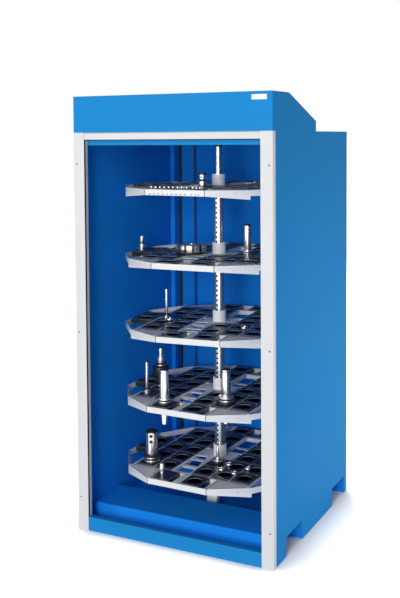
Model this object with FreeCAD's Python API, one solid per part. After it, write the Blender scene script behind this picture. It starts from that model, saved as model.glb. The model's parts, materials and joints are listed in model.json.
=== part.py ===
"""Rotary tool cabinet: a sheet-metal cabinet with a roller shutter and five turning tool levels.

Millimetres, +Z up. The origin is on the floor under the middle of the cabinet's outer box, and
the open side faces -Y. Each sub-part is written to parts/NODE.step.
"""
import FreeCAD, Part

import math
import os

Vector = FreeCAD.Vector
UP = Vector(0, 0, 1)

# ---- cabinet body -------------------------------------------------------------------------
BODY_WIDTH = 1035.0
BODY_DEPTH = 1018.0             # front flange to back, without the guide rails
BODY_HEIGHT = 1950.0
SHEET = 2.0                     # sheet-metal thickness
FRONT_FLANGE = 58.0             # width of a side panel's front flange
REAR_FLANGE = 20.0              # width of a side panel's rear flange
SEAM_OFFSET = 385.0             # middle of the cabinet to a joint of the back wall
SEAM_GAP = 8.0
PANEL_FOLD = 20.0               # depth of the folded edges at a joint of the back wall
STRAP_WIDTH = 50.0
POST_WIDTH = 28.0
POST_DEPTH = 75.0
LINTEL_HEIGHT = 61.0
LINTEL_FOLD = 20.0

# ---- base with its two fork tunnels -------------------------------------------------------
FLOOR_HEIGHT = 25.0
TUNNEL_HEIGHT = 95.0            # top of the humps over the fork tunnels
NOTCH_HEIGHT = 92.0
FRONT_NOTCH_OFFSET = 121.0      # body front to the front notch
FRONT_NOTCH_LENGTH = 210.0
REAR_NOTCH_OFFSET = 42.0        # body back to the rear notch
REAR_NOTCH_LENGTH = 205.0
TUNNEL_FRONT_MARGIN = 30.0      # a tunnel is longer than its notch by these two margins
TUNNEL_REAR_MARGIN = 8.0
SILL_HEIGHT = 68.0

# ---- guide rails and head box -------------------------------------------------------------
RAIL_WIDTH = 58.0
RAIL_DEPTH = 32.0
RAIL_WALL = 3.0
SLOT_WIDTH = 12.0
SLOT_DEPTH = 25.0
RAIL_SCREW_INSET = 17.0         # outer edge of a rail to its screws
RAIL_SCREW_LOW = 163.0           # floor to the lowest screw
RAIL_SCREW_TOP_INSET = 151.0    # body top to the highest screw
SCREW_HEAD_DIAMETER = 8.0
SCREW_HEAD_HEIGHT = 1.5
SCREW_DIAMETER = 5.0
HEAD_HEIGHT = 174.0
HEAD_REACH = 560.0              # front to back of the head box
HEAD_FLAT = 198.0               # flat part of its top
HEAD_REAR_HEIGHT = 50.0
PLATE_LENGTH = 72.0
PLATE_HEIGHT = 23.0
PLATE_THICKNESS = 0.6
PLATE_SIDE_INSET = 27.0
PLATE_TOP_INSET = 14.0

# ---- roller shutter -----------------------------------------------------------------------
CURTAIN_THICKNESS = 7.0
CURTAIN_TURN_GAP = 0.5          # air between the turns of the rolled curtain
CURTAIN_HALF_TURNS = 13
ROLLER_DIAMETER = 50.0
ROLLER_WALL = 2.0
ROLLER_SETBACK = 105.0          # front of the rails to the roller's axis
ROLLER_HEIGHT = 87.0            # body top to the roller's axis
STUB_DIAMETER = 20.0
STUB_LENGTH = 22.0
TUBE_OVERHANG = 8.0             # length of the roller tube beyond the curtain
BRACKET_THICKNESS = 6.0
BRACKET_WIDTH = 50.0
END_RAIL_HEIGHT = 32.0
SEAL_HEIGHT = 4.0
SPRING_LENGTH = 400.0
SPRING_WALL = 6.0

# ---- column -------------------------------------------------------------------------------
COLUMN_DIAMETER = 54.0
COLUMN_WALL = 4.0
PIN_HOLE_DIAMETER = 11.0
PIN_PITCH = 25.0
JOURNAL_DIAMETER = 33.0
JOURNAL_LENGTH = 143.0          # length of the journal above the column
JOURNAL_ROOT = 40.0             # length of the journal inside the column
COLUMN_HEADROOM = 210.0         # column top to body top
FOOT_CLEARANCE = 25.0           # foot to the front hump
FOOT_WIDTH = 55.0
FOOT_HEIGHT = 115.0
FOOT_TOP_LENGTH = 168.0         # flat top that carries the column
FOOT_PAD_LENGTH = 28.0
FOOT_PAD_THICKNESS = 8.0
FOOT_LEG_THICKNESS = 9.0        # of a leg where it meets its pad
FOOT_ARCH_HALF = 38.0
FOOT_ARCH_HEIGHT = 87.0
FOOT_BOLT_INSET = 12.0
FOOT_BOLT_DIAMETER = 16.0
FOOT_BOLT_HEIGHT = 8.0
BEARING_DIAMETER = 37.0
BEARING_HEIGHT = 14.0
BEAM_WIDTH = 80.0

# ---- tool levels --------------------------------------------------------------------------
LEVEL_COUNT = 5
FIRST_LEVEL_HEIGHT = 279.0      # floor to the top of the lowest rim
LEVEL_TURNS = (-2.0, -2.0, 6.0, 3.0, -2.0)
RIM_RADIUS = 485.0              # to the rim's corners
RIM_LONG_EDGE = 326.0           # four long edges; the eight short ones join them
RIM_HEIGHT = 28.0
RIM_WALL = 3.0
RIM_CORNER_HEIGHT = 45.0        # height of the rim at its four diagonal corners
HUB_DIAMETER = 69.0
HUB_RISE = 58.0                 # height of the hub above the rim's top
SQUARE_WALL = 13.0              # width of the square frame's bars
BAR_WIDTH = 20.0                # bars that carry the cassettes
BAR_THICKNESS = 4.0
PLATE_GAUGE = 3.0
WEB = 2.0                       # rails between the cassette columns
CHANNEL_STRIP = 8.0             # wider rails along the open channel
CHANNEL_BAR = 26.0              # bars across the open channel in front
CHANNEL_BARS = (120.0, 222.0)   # middle of the hub to each of these bars
CHANNEL_END = 10.0              # reach of the end piece into the channel
CHANNEL_GUSSET = 42.0           # width of the gusset beside the channel, at the hub
FRONT_PLATE_WIDTH = 40.0        # plate between the channel and the rim
WING_CASSETTE_X = 66.0          # middle of a long edge to the cassette on its one side
HUB_BAR_WIDTH = 10.0            # bars in front of and behind the hub's plate
HUB_PLATE_X = 88.0              # middle of the hub to the ends of its plate
HUB_PLATE_Y = 52.0
COLLAR_DIAMETER = 80.0
COLLAR_HEIGHT = 16.0
WASHER_THICKNESS = 3.0
WASHER_INSET = 2.0              # edge of a collar to the edge of its washer
PIN_DIAMETER = 10.8
PIN_OVERHANG = 6.0

# ---- cassettes and their pockets ----------------------------------------------------------
CELL_WIDTH = 105.0              # along X
CELL_LENGTH = 126.0             # along Y
CELL_COLUMNS = 6
CELL_ROWS = 5
CASSETTE_GAP = 2.0
CASSETTE_HEIGHT = 24.0
CASSETTE_RISE = 4.0             # cassette top above the rim's top
CASSETTE_CORNER = 4.0
POCKET_DIAMETER = 63.0
TOOL_CLEARANCE = 0.5            # radial clearance of a pocket that is made for one tool

RUNNING_CLEARANCE = 0.06        # radial, between a shaft and its bore
SLIDING_CLEARANCE = 0.4         # between the end rail and its slot
SEAT_CLEARANCE = 0.3            # between loosely seated pieces

# ---- tools that stand in the cassettes ----------------------------------------------------
TAPER_RADIUS = 22.2             # radii, at the cassette's top and at the small end
TAPER_TIP = 14.0
TAPER_LENGTH = 100.0
TAPER_CHAMFER = 3.0
FLANGE_GROOVE = 4.0
BORING_FLANGE = 31.0            # radii of the grooved flanges
CUTTER_FLANGE = 31.0
BLANK_FLANGE = 40.0
LARGE_FLANGE = 42.0
RACK_LENGTH = 290.0             # strip that carries the small collets
RACK_WIDTH = 22.0
RACK_THICKNESS = 2.0
RACK_INSET = 3.0                # rim to the strip
COLLET_PITCH = 24.0
COLLET_COUNT = 9
COLLET_START = -133.0
SPARE_PITCH = 19.0
SPARE_COUNT = 3
SPARE_START = 93.0

# ---- derived places -----------------------------------------------------------------------
HALF_WIDTH = BODY_WIDTH / 2
INNER_HALF = HALF_WIDTH - SHEET
FRONT = -(BODY_DEPTH + RAIL_DEPTH) / 2
BODY_FRONT = FRONT + RAIL_DEPTH
BACK = BODY_FRONT + BODY_DEPTH
BACK_WALL = BACK - SHEET
COLUMN_Y = (BODY_FRONT + BACK) / 2
RAIL_INNER = HALF_WIDTH - RAIL_WIDTH
SLOT_FRONT = FRONT + RAIL_WALL
SLOT_MIDDLE = SLOT_FRONT + SLOT_WIDTH / 2
HEAD_FRONT = FRONT + PLATE_THICKNESS
HEAD_TOP = BODY_HEIGHT + HEAD_HEIGHT
LINTEL_BOTTOM = BODY_HEIGHT - LINTEL_HEIGHT
END_RAIL_TOP = BODY_HEIGHT - SHEET
END_RAIL_BOTTOM = END_RAIL_TOP - END_RAIL_HEIGHT
END_RAIL_HALF = RAIL_INNER + SLOT_DEPTH - SLIDING_CLEARANCE
END_RAIL_THICKNESS = SLOT_WIDTH - 2 * SLIDING_CLEARANCE
ROLLER_Y = FRONT + ROLLER_SETBACK
ROLLER_Z = BODY_HEIGHT + ROLLER_HEIGHT
ROLLER_RADIUS = ROLLER_DIAMETER / 2
TUBE_HALF = END_RAIL_HALF + TUBE_OVERHANG
FOOT_TOP = FLOOR_HEIGHT + FOOT_HEIGHT
COLUMN_RADIUS = COLUMN_DIAMETER / 2
HUMP_END = BODY_FRONT + FRONT_NOTCH_OFFSET + FRONT_NOTCH_LENGTH + TUNNEL_REAR_MARGIN
FOOT_REACH = COLUMN_Y - HUMP_END - FOOT_CLEARANCE
HUB_RADIUS = HUB_DIAMETER / 2
COLUMN_TOP = BODY_HEIGHT - COLUMN_HEADROOM
LEVELS_RISE = COLUMN_TOP - FIRST_LEVEL_HEIGHT - HUB_RISE - WASHER_THICKNESS
LEVEL_PITCH_HOLES = LEVELS_RISE // ((LEVEL_COUNT - 1) * PIN_PITCH)  # whole holes to the next level
LEVEL_PITCH = LEVEL_PITCH_HOLES * PIN_PITCH
JOURNAL_TOP = COLUMN_TOP + JOURNAL_LENGTH
BEARING_TOP = JOURNAL_TOP + BEARING_HEIGHT / 2
COLLAR_DROP = RIM_HEIGHT + WASHER_THICKNESS + COLLAR_HEIGHT / 2   # rim top to collar middle
HALF_LONG = RIM_LONG_EDGE / 2
LONG_FACE = math.sqrt(RIM_RADIUS ** 2 - HALF_LONG ** 2)           # middle to a long edge
DIAGONAL = RIM_RADIUS / math.sqrt(2)
SQUARE_INNER = CELL_COLUMNS * CELL_WIDTH / 2 + CASSETTE_GAP
SQUARE_OUTER = SQUARE_INNER + SQUARE_WALL
HUB_ZONE_X = CELL_WIDTH
HUB_ZONE_Y = CELL_LENGTH / 2
WING_MIDDLE = (SQUARE_OUTER + LONG_FACE - RIM_WALL) / 2           # middle of an outer cassette
WING_LENGTH = LONG_FACE - RIM_WALL - SQUARE_OUTER
CASSETTE_WIDTH = CELL_WIDTH - WEB - CASSETTE_GAP
CORNER_CASSETTE_X = HALF_LONG - SQUARE_WALL - CASSETTE_WIDTH / 2  # to the cassette on its other side


# ---- shapes -------------------------------------------------------------------------------
def box(x0, x1, y0, y1, z0, z1):
    return Part.makeBox(x1 - x0, y1 - y0, z1 - z0, Vector(x0, y0, z0))


def cylinder(radius, length, base, axis=UP):
    return Part.makeCylinder(radius, length, base, axis)


def ring(outer, inner, length, base, axis=UP):
    return cylinder(outer, length, base, axis).cut(cylinder(inner, length, base, axis))


def prism(points, direction):
    """A closed outline of 3-D points, drawn out along direction."""
    outline = Part.makePolygon(points + [points[0]])
    return Part.Face(outline).extrude(direction)


def offset_path(path, distance):
    """The open 2-D path moved sideways by distance, to its left, with mitred corners."""
    moved = []
    for index, (x, y) in enumerate(path):
        normals = []
        for start in (index - 1, index):
            if 0 <= start < len(path) - 1:
                dx = path[start + 1][0] - path[start][0]
                dy = path[start + 1][1] - path[start][1]
                length = math.hypot(dx, dy)
                normals.append((-dy / length, dx / length))
        nx = sum(normal[0] for normal in normals)
        ny = sum(normal[1] for normal in normals)
        scale = distance * len(normals) / (nx * nx + ny * ny)
        moved.append((x + nx * scale, y + ny * scale))
    return moved


def sheet_outline(path, thickness):
    """The closed section of a bent sheet whose outer face follows path."""
    return path + offset_path(path, thickness)[::-1]


def sheet_along_z(path, z0, z1, thickness=SHEET):
    points = [Vector(x, y, z0) for x, y in sheet_outline(path, thickness)]
    return prism(points, Vector(0, 0, z1 - z0))


def sheet_along_x(path, x0, x1, thickness=SHEET):
    """The path holds (y, z) points."""
    points = [Vector(x0, y, z) for y, z in sheet_outline(path, thickness)]
    return prism(points, Vector(x1 - x0, 0, 0))


def fuse(shapes):
    return shapes[0].multiFuse(shapes[1:]).removeSplitter()


def cut(shape, tools):
    return shape.cut(Part.makeCompound(tools)) if tools else shape


def mirrored(shape):
    return shape.mirror(Vector(0, 0, 0), Vector(1, 0, 0))


def both_sides(right):
    return [right, mirrored(right)]


def revolved(profile, base):
    """A turned piece. The profile holds (radius, height) points from the axis and back to it."""
    points = [Vector(radius, 0, height) for radius, height in profile]
    turned = Part.Face(Part.makePolygon(points + [points[0]])).revolve(Vector(0, 0, 0), UP, 360)
    turned.translate(base)
    return turned


# ---- cabinet ------------------------------------------------------------------------------
def side_panel():
    """The right-hand panel, bent round the front and the back and notched for the forks."""
    path = [
        (HALF_WIDTH - FRONT_FLANGE, BODY_FRONT),
        (HALF_WIDTH, BODY_FRONT),
        (HALF_WIDTH, BACK),
        (HALF_WIDTH - REAR_FLANGE, BACK),
    ]
    panel = sheet_along_z(path, 0, BODY_HEIGHT)
    notches = [
        box(INNER_HALF - 1, HALF_WIDTH + 1, start, end, -1, NOTCH_HEIGHT)
        for start, end in (front_notch(), rear_notch())
    ]
    return cut(panel, notches)


def front_notch():
    start = BODY_FRONT + FRONT_NOTCH_OFFSET
    return start, start + FRONT_NOTCH_LENGTH


def rear_notch():
    end = BACK - REAR_NOTCH_OFFSET
    return end - REAR_NOTCH_LENGTH, end


def tunnel_span(notch):
    return notch[0] - TUNNEL_FRONT_MARGIN, notch[1] + TUNNEL_REAR_MARGIN


def tunnel(notch):
    """The folded sheet over one fork tunnel."""
    start, end = tunnel_span(notch)
    path = [(end, 0), (end, TUNNEL_HEIGHT), (start, TUNNEL_HEIGHT), (start, 0)]
    return sheet_along_x(path, -INNER_HALF, INNER_HALF)


def floor_plates():
    """The low floor in front of, between and behind the humps."""
    front_start, front_end = tunnel_span(front_notch())
    rear_start, rear_end = tunnel_span(rear_notch())
    low = FLOOR_HEIGHT - SHEET
    return [
        box(-INNER_HALF, INNER_HALF, start, end, low, FLOOR_HEIGHT)
        for start, end in (
            (BODY_FRONT + SHEET, front_start),
            (front_end, rear_start),
            (rear_end, BACK_WALL - SHEET),
        )
    ]


def sill():
    outer = box(-RAIL_INNER, RAIL_INNER, end_rail_front(), BODY_FRONT, 0, SILL_HEIGHT)
    inner = box(
        -RAIL_INNER, RAIL_INNER,
        end_rail_front() + SHEET, BODY_FRONT - SHEET,
        SHEET, SILL_HEIGHT - SHEET,
    )
    return outer.cut(inner)


def back_wall_middle():
    edge = SEAM_OFFSET - SEAM_GAP / 2
    path = [
        (edge, BACK_WALL - PANEL_FOLD), (edge, BACK_WALL),
        (-edge, BACK_WALL), (-edge, BACK_WALL - PANEL_FOLD),
    ]
    return sheet_along_z(path, TUNNEL_HEIGHT, BODY_HEIGHT - SHEET)


def back_wall_side():
    edge = SEAM_OFFSET + SEAM_GAP / 2
    path = [(INNER_HALF, BACK_WALL), (edge, BACK_WALL), (edge, BACK_WALL - PANEL_FOLD)]
    return sheet_along_z(path, TUNNEL_HEIGHT, BODY_HEIGHT - SHEET)


def back_skirt():
    return box(-INNER_HALF, INNER_HALF, BACK_WALL - SHEET, BACK_WALL, 0, TUNNEL_HEIGHT)


def seam_straps():
    half = STRAP_WIDTH / 2
    return both_sides(
        box(SEAM_OFFSET - half, SEAM_OFFSET + half, BACK_WALL, BACK, 0, BODY_HEIGHT - SHEET)
    )


def corner_post():
    outer_x = INNER_HALF - SHEET
    inner_x = INNER_HALF - POST_WIDTH
    rear = BACK_WALL - SHEET
    path = [(inner_x, rear), (inner_x, rear - POST_DEPTH), (outer_x, rear - POST_DEPTH)]
    return sheet_along_z(path, TUNNEL_HEIGHT, BODY_HEIGHT - SHEET)


def top_panel():
    top = BODY_HEIGHT
    return box(-INNER_HALF, INNER_HALF, BODY_FRONT + SHEET, BACK_WALL, top - SHEET, top)


def lintel():
    inner_edge = HALF_WIDTH - FRONT_FLANGE
    path = [
        (BODY_FRONT, BODY_HEIGHT),
        (BODY_FRONT, LINTEL_BOTTOM),
        (BODY_FRONT + LINTEL_FOLD, LINTEL_BOTTOM),
    ]
    return sheet_along_x(path, -inner_edge, inner_edge)


# ---- guide rails --------------------------------------------------------------------------
def screw_places():
    highest = BODY_HEIGHT - RAIL_SCREW_TOP_INSET
    heights = (RAIL_SCREW_LOW, (RAIL_SCREW_LOW + highest) / 2, highest)
    return [(HALF_WIDTH - RAIL_SCREW_INSET, height) for height in heights]


def guide_rail():
    """The right-hand rail: an extrusion with the curtain's slot and a closed chamber."""
    rail = box(RAIL_INNER, HALF_WIDTH, FRONT, BODY_FRONT, 0, BODY_HEIGHT)
    slot = box(
        RAIL_INNER - 1, RAIL_INNER + SLOT_DEPTH,
        SLOT_FRONT, SLOT_FRONT + SLOT_WIDTH,
        -1, BODY_HEIGHT + 1,
    )
    chamber = box(
        RAIL_INNER + SLOT_DEPTH + RAIL_WALL, HALF_WIDTH - RAIL_WALL,
        FRONT + RAIL_WALL, BODY_FRONT - RAIL_WALL,
        RAIL_WALL, BODY_HEIGHT - RAIL_WALL,
    )
    seats = []
    for x, z in screw_places():
        front = Vector(x, FRONT - 1, z)
        back = Vector(0, 1, 0)
        head = SCREW_HEAD_DIAMETER / 2 + SEAT_CLEARANCE
        seats.append(cylinder(head, SCREW_HEAD_HEIGHT + 1, front, back))
        seats.append(cylinder(SCREW_DIAMETER / 2, RAIL_DEPTH + 2, front, back))
    return cut(rail, [slot, chamber] + seats)


def rail_screws():
    screws = []
    for x, z in screw_places():
        back = Vector(0, 1, 0)
        head_base = Vector(x, FRONT + SEAT_CLEARANCE, z)
        head_height = SCREW_HEAD_HEIGHT - SEAT_CLEARANCE
        head = cylinder(SCREW_HEAD_DIAMETER / 2, head_height, head_base, back)
        shank = cylinder(SCREW_DIAMETER / 2, RAIL_DEPTH - SEAT_CLEARANCE, head_base, back)
        screw = head.fuse(shank)
        screws += both_sides(screw)
    return screws


# ---- head box -----------------------------------------------------------------------------
def head_profile():
    return [
        (HEAD_FRONT, BODY_HEIGHT),
        (HEAD_FRONT, HEAD_TOP),
        (HEAD_FRONT + HEAD_FLAT, HEAD_TOP),
        (FRONT + HEAD_REACH, BODY_HEIGHT + HEAD_REAR_HEIGHT),
        (FRONT + HEAD_REACH, BODY_HEIGHT),
    ]


def head_cover():
    path = head_profile()[::-1]
    return sheet_along_x(path, -INNER_HALF, INNER_HALF)


def head_end():
    points = [Vector(INNER_HALF, y, z) for y, z in head_profile()]
    return prism(points, Vector(SHEET, 0, 0))


def bare_plate():
    right = HALF_WIDTH - PLATE_SIDE_INSET
    top = HEAD_TOP - PLATE_TOP_INSET
    return box(right - PLATE_LENGTH, right, FRONT, HEAD_FRONT, top - PLATE_HEIGHT, top)


# ---- roller shutter -----------------------------------------------------------------------
def end_rail_front():
    return SLOT_MIDDLE - END_RAIL_THICKNESS / 2


def end_rail():
    """The stiff bar at the curtain's lower edge, hollow and closed at its ends."""
    half = END_RAIL_HALF
    front = end_rail_front()
    back = front + END_RAIL_THICKNESS
    bar = box(-half, half, front, back, END_RAIL_BOTTOM, END_RAIL_TOP)
    chamber = box(
        -half + SHEET, half - SHEET, front + SHEET, back - SHEET,
        END_RAIL_BOTTOM + SHEET, END_RAIL_TOP - SHEET,
    )
    return bar.cut(chamber)


def end_rail_seal():
    inset = END_RAIL_THICKNESS / 5
    front = end_rail_front()
    return box(
        -RAIL_INNER + SEAT_CLEARANCE, RAIL_INNER - SEAT_CLEARANCE,
        front + inset, front + END_RAIL_THICKNESS - inset,
        END_RAIL_BOTTOM - SEAL_HEIGHT, END_RAIL_BOTTOM,
    )


def flat_curtain():
    half = CURTAIN_THICKNESS / 2
    return box(
        -END_RAIL_HALF, END_RAIL_HALF,
        SLOT_MIDDLE - half, SLOT_MIDDLE + half,
        END_RAIL_TOP, ROLLER_Z,
    )


def spiral_arcs(radius):
    """Half-circle arcs about the roller that grow outwards by half a turn's pitch each."""
    step = (CURTAIN_THICKNESS + CURTAIN_TURN_GAP) / 2
    arcs = []
    for turn in range(CURTAIN_HALF_TURNS):
        side = -1 if turn % 2 else 1
        centre = ROLLER_Y + (step if turn % 2 else 0)
        reach = radius + turn * step
        start = Vector(-END_RAIL_HALF, centre + side * reach, ROLLER_Z)
        middle = Vector(-END_RAIL_HALF, centre, ROLLER_Z + side * reach)
        end = Vector(-END_RAIL_HALF, centre - side * reach, ROLLER_Z)
        arcs.append(Part.Arc(start, middle, end).toShape())
    return arcs


def rolled_curtain():
    inner = spiral_arcs(ROLLER_RADIUS + CURTAIN_TURN_GAP)
    outer = spiral_arcs(ROLLER_RADIUS + CURTAIN_TURN_GAP + CURTAIN_THICKNESS)
    first_edge = Part.makeLine(inner[0].Vertexes[0].Point, outer[0].Vertexes[0].Point)
    last_edge = Part.makeLine(inner[-1].Vertexes[-1].Point, outer[-1].Vertexes[-1].Point)
    outline = Part.Wire(inner + [last_edge] + outer[::-1] + [first_edge])
    return Part.Face(outline).extrude(Vector(2 * END_RAIL_HALF, 0, 0))


def roller_tube():
    base = Vector(-TUBE_HALF, ROLLER_Y, ROLLER_Z)
    return ring(ROLLER_RADIUS, ROLLER_RADIUS - ROLLER_WALL, 2 * TUBE_HALF, base, Vector(1, 0, 0))


def roller_plug():
    """The right-hand plug of the roller tube with its stub shaft."""
    depth = 2 * STUB_LENGTH
    along = Vector(1, 0, 0)
    plug_base = Vector(TUBE_HALF - depth, ROLLER_Y, ROLLER_Z)
    stub_base = Vector(TUBE_HALF, ROLLER_Y, ROLLER_Z)
    plug = cylinder(ROLLER_RADIUS - ROLLER_WALL, depth, plug_base, along)
    return plug.fuse(cylinder(STUB_DIAMETER / 2, STUB_LENGTH, stub_base, along))


def counter_spring():
    """The outer shape of the torsion spring inside the roller, seated on the left plug."""
    outer = ROLLER_RADIUS - ROLLER_WALL - SEAT_CLEARANCE
    base = Vector(-TUBE_HALF + 2 * STUB_LENGTH, ROLLER_Y, ROLLER_Z)
    return ring(outer, outer - SPRING_WALL, SPRING_LENGTH, base, Vector(1, 0, 0))


def roller_bracket():
    """The right-hand bracket, which stands on the body's top and holds the stub shaft."""
    inner = TUBE_HALF + (STUB_LENGTH - BRACKET_THICKNESS) / 2
    half = BRACKET_WIDTH / 2
    plate = box(
        inner, inner + BRACKET_THICKNESS, ROLLER_Y - half, ROLLER_Y + half, BODY_HEIGHT, ROLLER_Z
    )
    along = Vector(1, 0, 0)
    eye = cylinder(half, BRACKET_THICKNESS, Vector(inner, ROLLER_Y, ROLLER_Z), along)
    bore_radius = STUB_DIAMETER / 2 + RUNNING_CLEARANCE
    bore_base = Vector(inner - 1, ROLLER_Y, ROLLER_Z)
    return plate.fuse(eye).cut(cylinder(bore_radius, BRACKET_THICKNESS + 2, bore_base, along))


# ---- column -------------------------------------------------------------------------------
def level_height(level):
    return FIRST_LEVEL_HEIGHT + level * LEVEL_PITCH


def pin_heights():
    """Heights of the column's holes: each level's collar lies on one of them."""
    lowest = level_height(0) - COLLAR_DROP
    count_down = int((lowest - FOOT_TOP - PIN_HOLE_DIAMETER) // PIN_PITCH)
    start = lowest - count_down * PIN_PITCH
    count = int((COLUMN_TOP - JOURNAL_ROOT - PIN_HOLE_DIAMETER - start) // PIN_PITCH) + 1
    return [start + number * PIN_PITCH for number in range(count)]


def column():
    base = Vector(0, COLUMN_Y, FOOT_TOP)
    tube = ring(COLUMN_RADIUS, COLUMN_RADIUS - COLUMN_WALL, COLUMN_TOP - FOOT_TOP, base)
    holes = [
        cylinder(
            PIN_HOLE_DIAMETER / 2, COLUMN_DIAMETER + 2,
            Vector(0, COLUMN_Y - COLUMN_RADIUS - 1, height), Vector(0, 1, 0),
        )
        for height in pin_heights()
    ]
    return cut(tube, holes)


def journal():
    root = cylinder(
        COLUMN_RADIUS - COLUMN_WALL, JOURNAL_ROOT, Vector(0, COLUMN_Y, COLUMN_TOP - JOURNAL_ROOT)
    )
    shaft = cylinder(JOURNAL_DIAMETER / 2, JOURNAL_LENGTH, Vector(0, COLUMN_Y, COLUMN_TOP))
    return root.fuse(shaft)


def column_foot():
    """A bridge along Y: a flat top on two legs that spread and get thinner down to their pads."""
    leg_front = FOOT_REACH - FOOT_PAD_LENGTH
    pad_top = FLOOR_HEIGHT + FOOT_PAD_THICKNESS
    arch_top = FLOOR_HEIGHT + FOOT_ARCH_HEIGHT
    half = [
        (FOOT_ARCH_HALF, arch_top),
        (leg_front - FOOT_LEG_THICKNESS, pad_top),
        (leg_front - FOOT_LEG_THICKNESS, FLOOR_HEIGHT),
        (FOOT_REACH, FLOOR_HEIGHT),
        (FOOT_REACH, pad_top),
        (leg_front, pad_top),
        (FOOT_TOP_LENGTH / 2, FOOT_TOP),
    ]
    outline = half + [(-y, z) for y, z in half[::-1]]
    points = [Vector(-FOOT_WIDTH / 2, COLUMN_Y + y, z) for y, z in outline]
    return prism(points, Vector(FOOT_WIDTH, 0, 0))


def foot_bolts():
    reach = FOOT_REACH - FOOT_BOLT_INSET
    side = FOOT_WIDTH / 4
    pad_top = FLOOR_HEIGHT + FOOT_PAD_THICKNESS
    bolts = []
    for x, y in ((side, reach), (-side, reach), (side, -reach), (-side, -reach)):
        corners = []
        for corner in range(6):
            angle = math.radians(60 * corner)
            radius = FOOT_BOLT_DIAMETER / 2
            corners.append(Vector(
                x + radius * math.cos(angle), COLUMN_Y + y + radius * math.sin(angle), pad_top
            ))
        bolts.append(prism(corners, Vector(0, 0, FOOT_BOLT_HEIGHT)))
    return bolts


def top_bearing():
    """A flanged cap that closes over the journal's end."""
    base = Vector(0, COLUMN_Y, BEARING_TOP - BEARING_HEIGHT)
    cap = cylinder(BEARING_DIAMETER / 2, BEARING_HEIGHT, base)
    seat = JOURNAL_TOP - (BEARING_TOP - BEARING_HEIGHT)
    return cap.cut(cylinder(JOURNAL_DIAMETER / 2, seat, base))


def top_beam():
    half = BEAM_WIDTH / 2
    top = BODY_HEIGHT - SHEET
    path = [
        (COLUMN_Y - half, top), (COLUMN_Y - half, BEARING_TOP),
        (COLUMN_Y + half, BEARING_TOP), (COLUMN_Y + half, top),
    ]
    return sheet_along_x(path, -INNER_HALF, INNER_HALF)


def collars():
    """One collar under each level, cross-pinned to the column."""
    pieces = []
    for level in range(LEVEL_COUNT):
        middle = level_height(level) - COLLAR_DROP
        base = Vector(0, COLUMN_Y, middle - COLLAR_HEIGHT / 2)
        collar = ring(COLLAR_DIAMETER / 2, COLUMN_RADIUS, COLLAR_HEIGHT, base)
        pieces.append(collar.cut(collar_pin(level)))
    return pieces


def collar_pin(level):
    length = COLLAR_DIAMETER + 2 * PIN_OVERHANG
    base = Vector(0, COLUMN_Y - length / 2, level_height(level) - COLLAR_DROP)
    return cylinder(PIN_DIAMETER / 2, length, base, Vector(0, 1, 0))


def thrust_washers():
    radius = COLLAR_DIAMETER / 2 - WASHER_INSET
    return [
        ring(
            radius, COLUMN_RADIUS + RUNNING_CLEARANCE, WASHER_THICKNESS,
            Vector(0, COLUMN_Y, level_height(level) - RIM_HEIGHT - WASHER_THICKNESS),
        )
        for level in range(LEVEL_COUNT)
    ]


# ---- tool levels: modelled about the origin with the rim's top at z = 0 ---------------------
def rim_prism(inset, z0, z1):
    """The rim's twelve-sided outline moved inwards by inset, between two heights."""
    face_reach = LONG_FACE - inset
    short_normal = math.atan2(LONG_FACE - DIAGONAL, DIAGONAL - HALF_LONG)
    half = HALF_LONG - inset * math.tan((math.pi / 2 - short_normal) / 2)
    diagonal = DIAGONAL - inset / (math.cos(short_normal) + math.sin(short_normal))
    points = []
    for turn in range(4):
        for x, y in ((face_reach, half), (diagonal, diagonal), (half, face_reach)):
            for _ in range(turn):
                x, y = -y, x
            points.append(Vector(x, y, z0))
    return prism(points, Vector(0, 0, z1 - z0))


def corner_wall():
    """The deeper part of the rim under one corner plate, at the right of the front edge."""
    near = Vector(HALF_LONG, -LONG_FACE, -RIM_HEIGHT)
    far = Vector(DIAGONAL, -DIAGONAL, -RIM_HEIGHT)
    low = Vector(DIAGONAL, -DIAGONAL, -RIM_CORNER_HEIGHT)
    along = far - near
    inwards = Vector(-along.y, along.x, 0).normalize() * RIM_WALL
    return prism([near, far, low], inwards)


def corner_plate():
    corner_y = -(SQUARE_OUTER - SQUARE_WALL / 2)
    points = [
        Vector(HALF_LONG - SQUARE_WALL, -LONG_FACE, -PLATE_GAUGE),
        Vector(HALF_LONG, -LONG_FACE, -PLATE_GAUGE),
        Vector(DIAGONAL, -DIAGONAL, -PLATE_GAUGE),
        Vector(DIAGONAL - SQUARE_WALL / 2, corner_y, -PLATE_GAUGE),
        Vector(HALF_LONG - SQUARE_WALL, corner_y, -PLATE_GAUGE),
    ]
    return prism(points, Vector(0, 0, PLATE_GAUGE))


def in_four_corners(shape):
    """Copies at both ends of the front edge and of the back edge."""
    pair = both_sides(shape)
    return pair + [piece.mirror(Vector(0, 0, 0), Vector(0, 1, 0)) for piece in pair]


def turned_half(shape):
    copy = shape.copy()
    copy.rotate(Vector(0, 0, 0), UP, 180)
    return copy


def row_edges():
    return [(row - CELL_ROWS / 2) * CELL_LENGTH for row in range(CELL_ROWS + 1)]


def column_edges():
    return [(number - CELL_COLUMNS / 2) * CELL_WIDTH for number in range(CELL_COLUMNS + 1)]


def channel_parts():
    """The end piece and the two side strips of the open channel that leads to the hub."""
    low = -PLATE_GAUGE
    parts = [box(-CELL_WIDTH, 0, -SQUARE_OUTER, -SQUARE_INNER + CHANNEL_END, low, 0)]
    for x in (-CELL_WIDTH, -CHANNEL_STRIP):
        parts.append(box(x, x + CHANNEL_STRIP, -SQUARE_INNER, -HUB_PLATE_Y, low, 0))
    return parts


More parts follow.
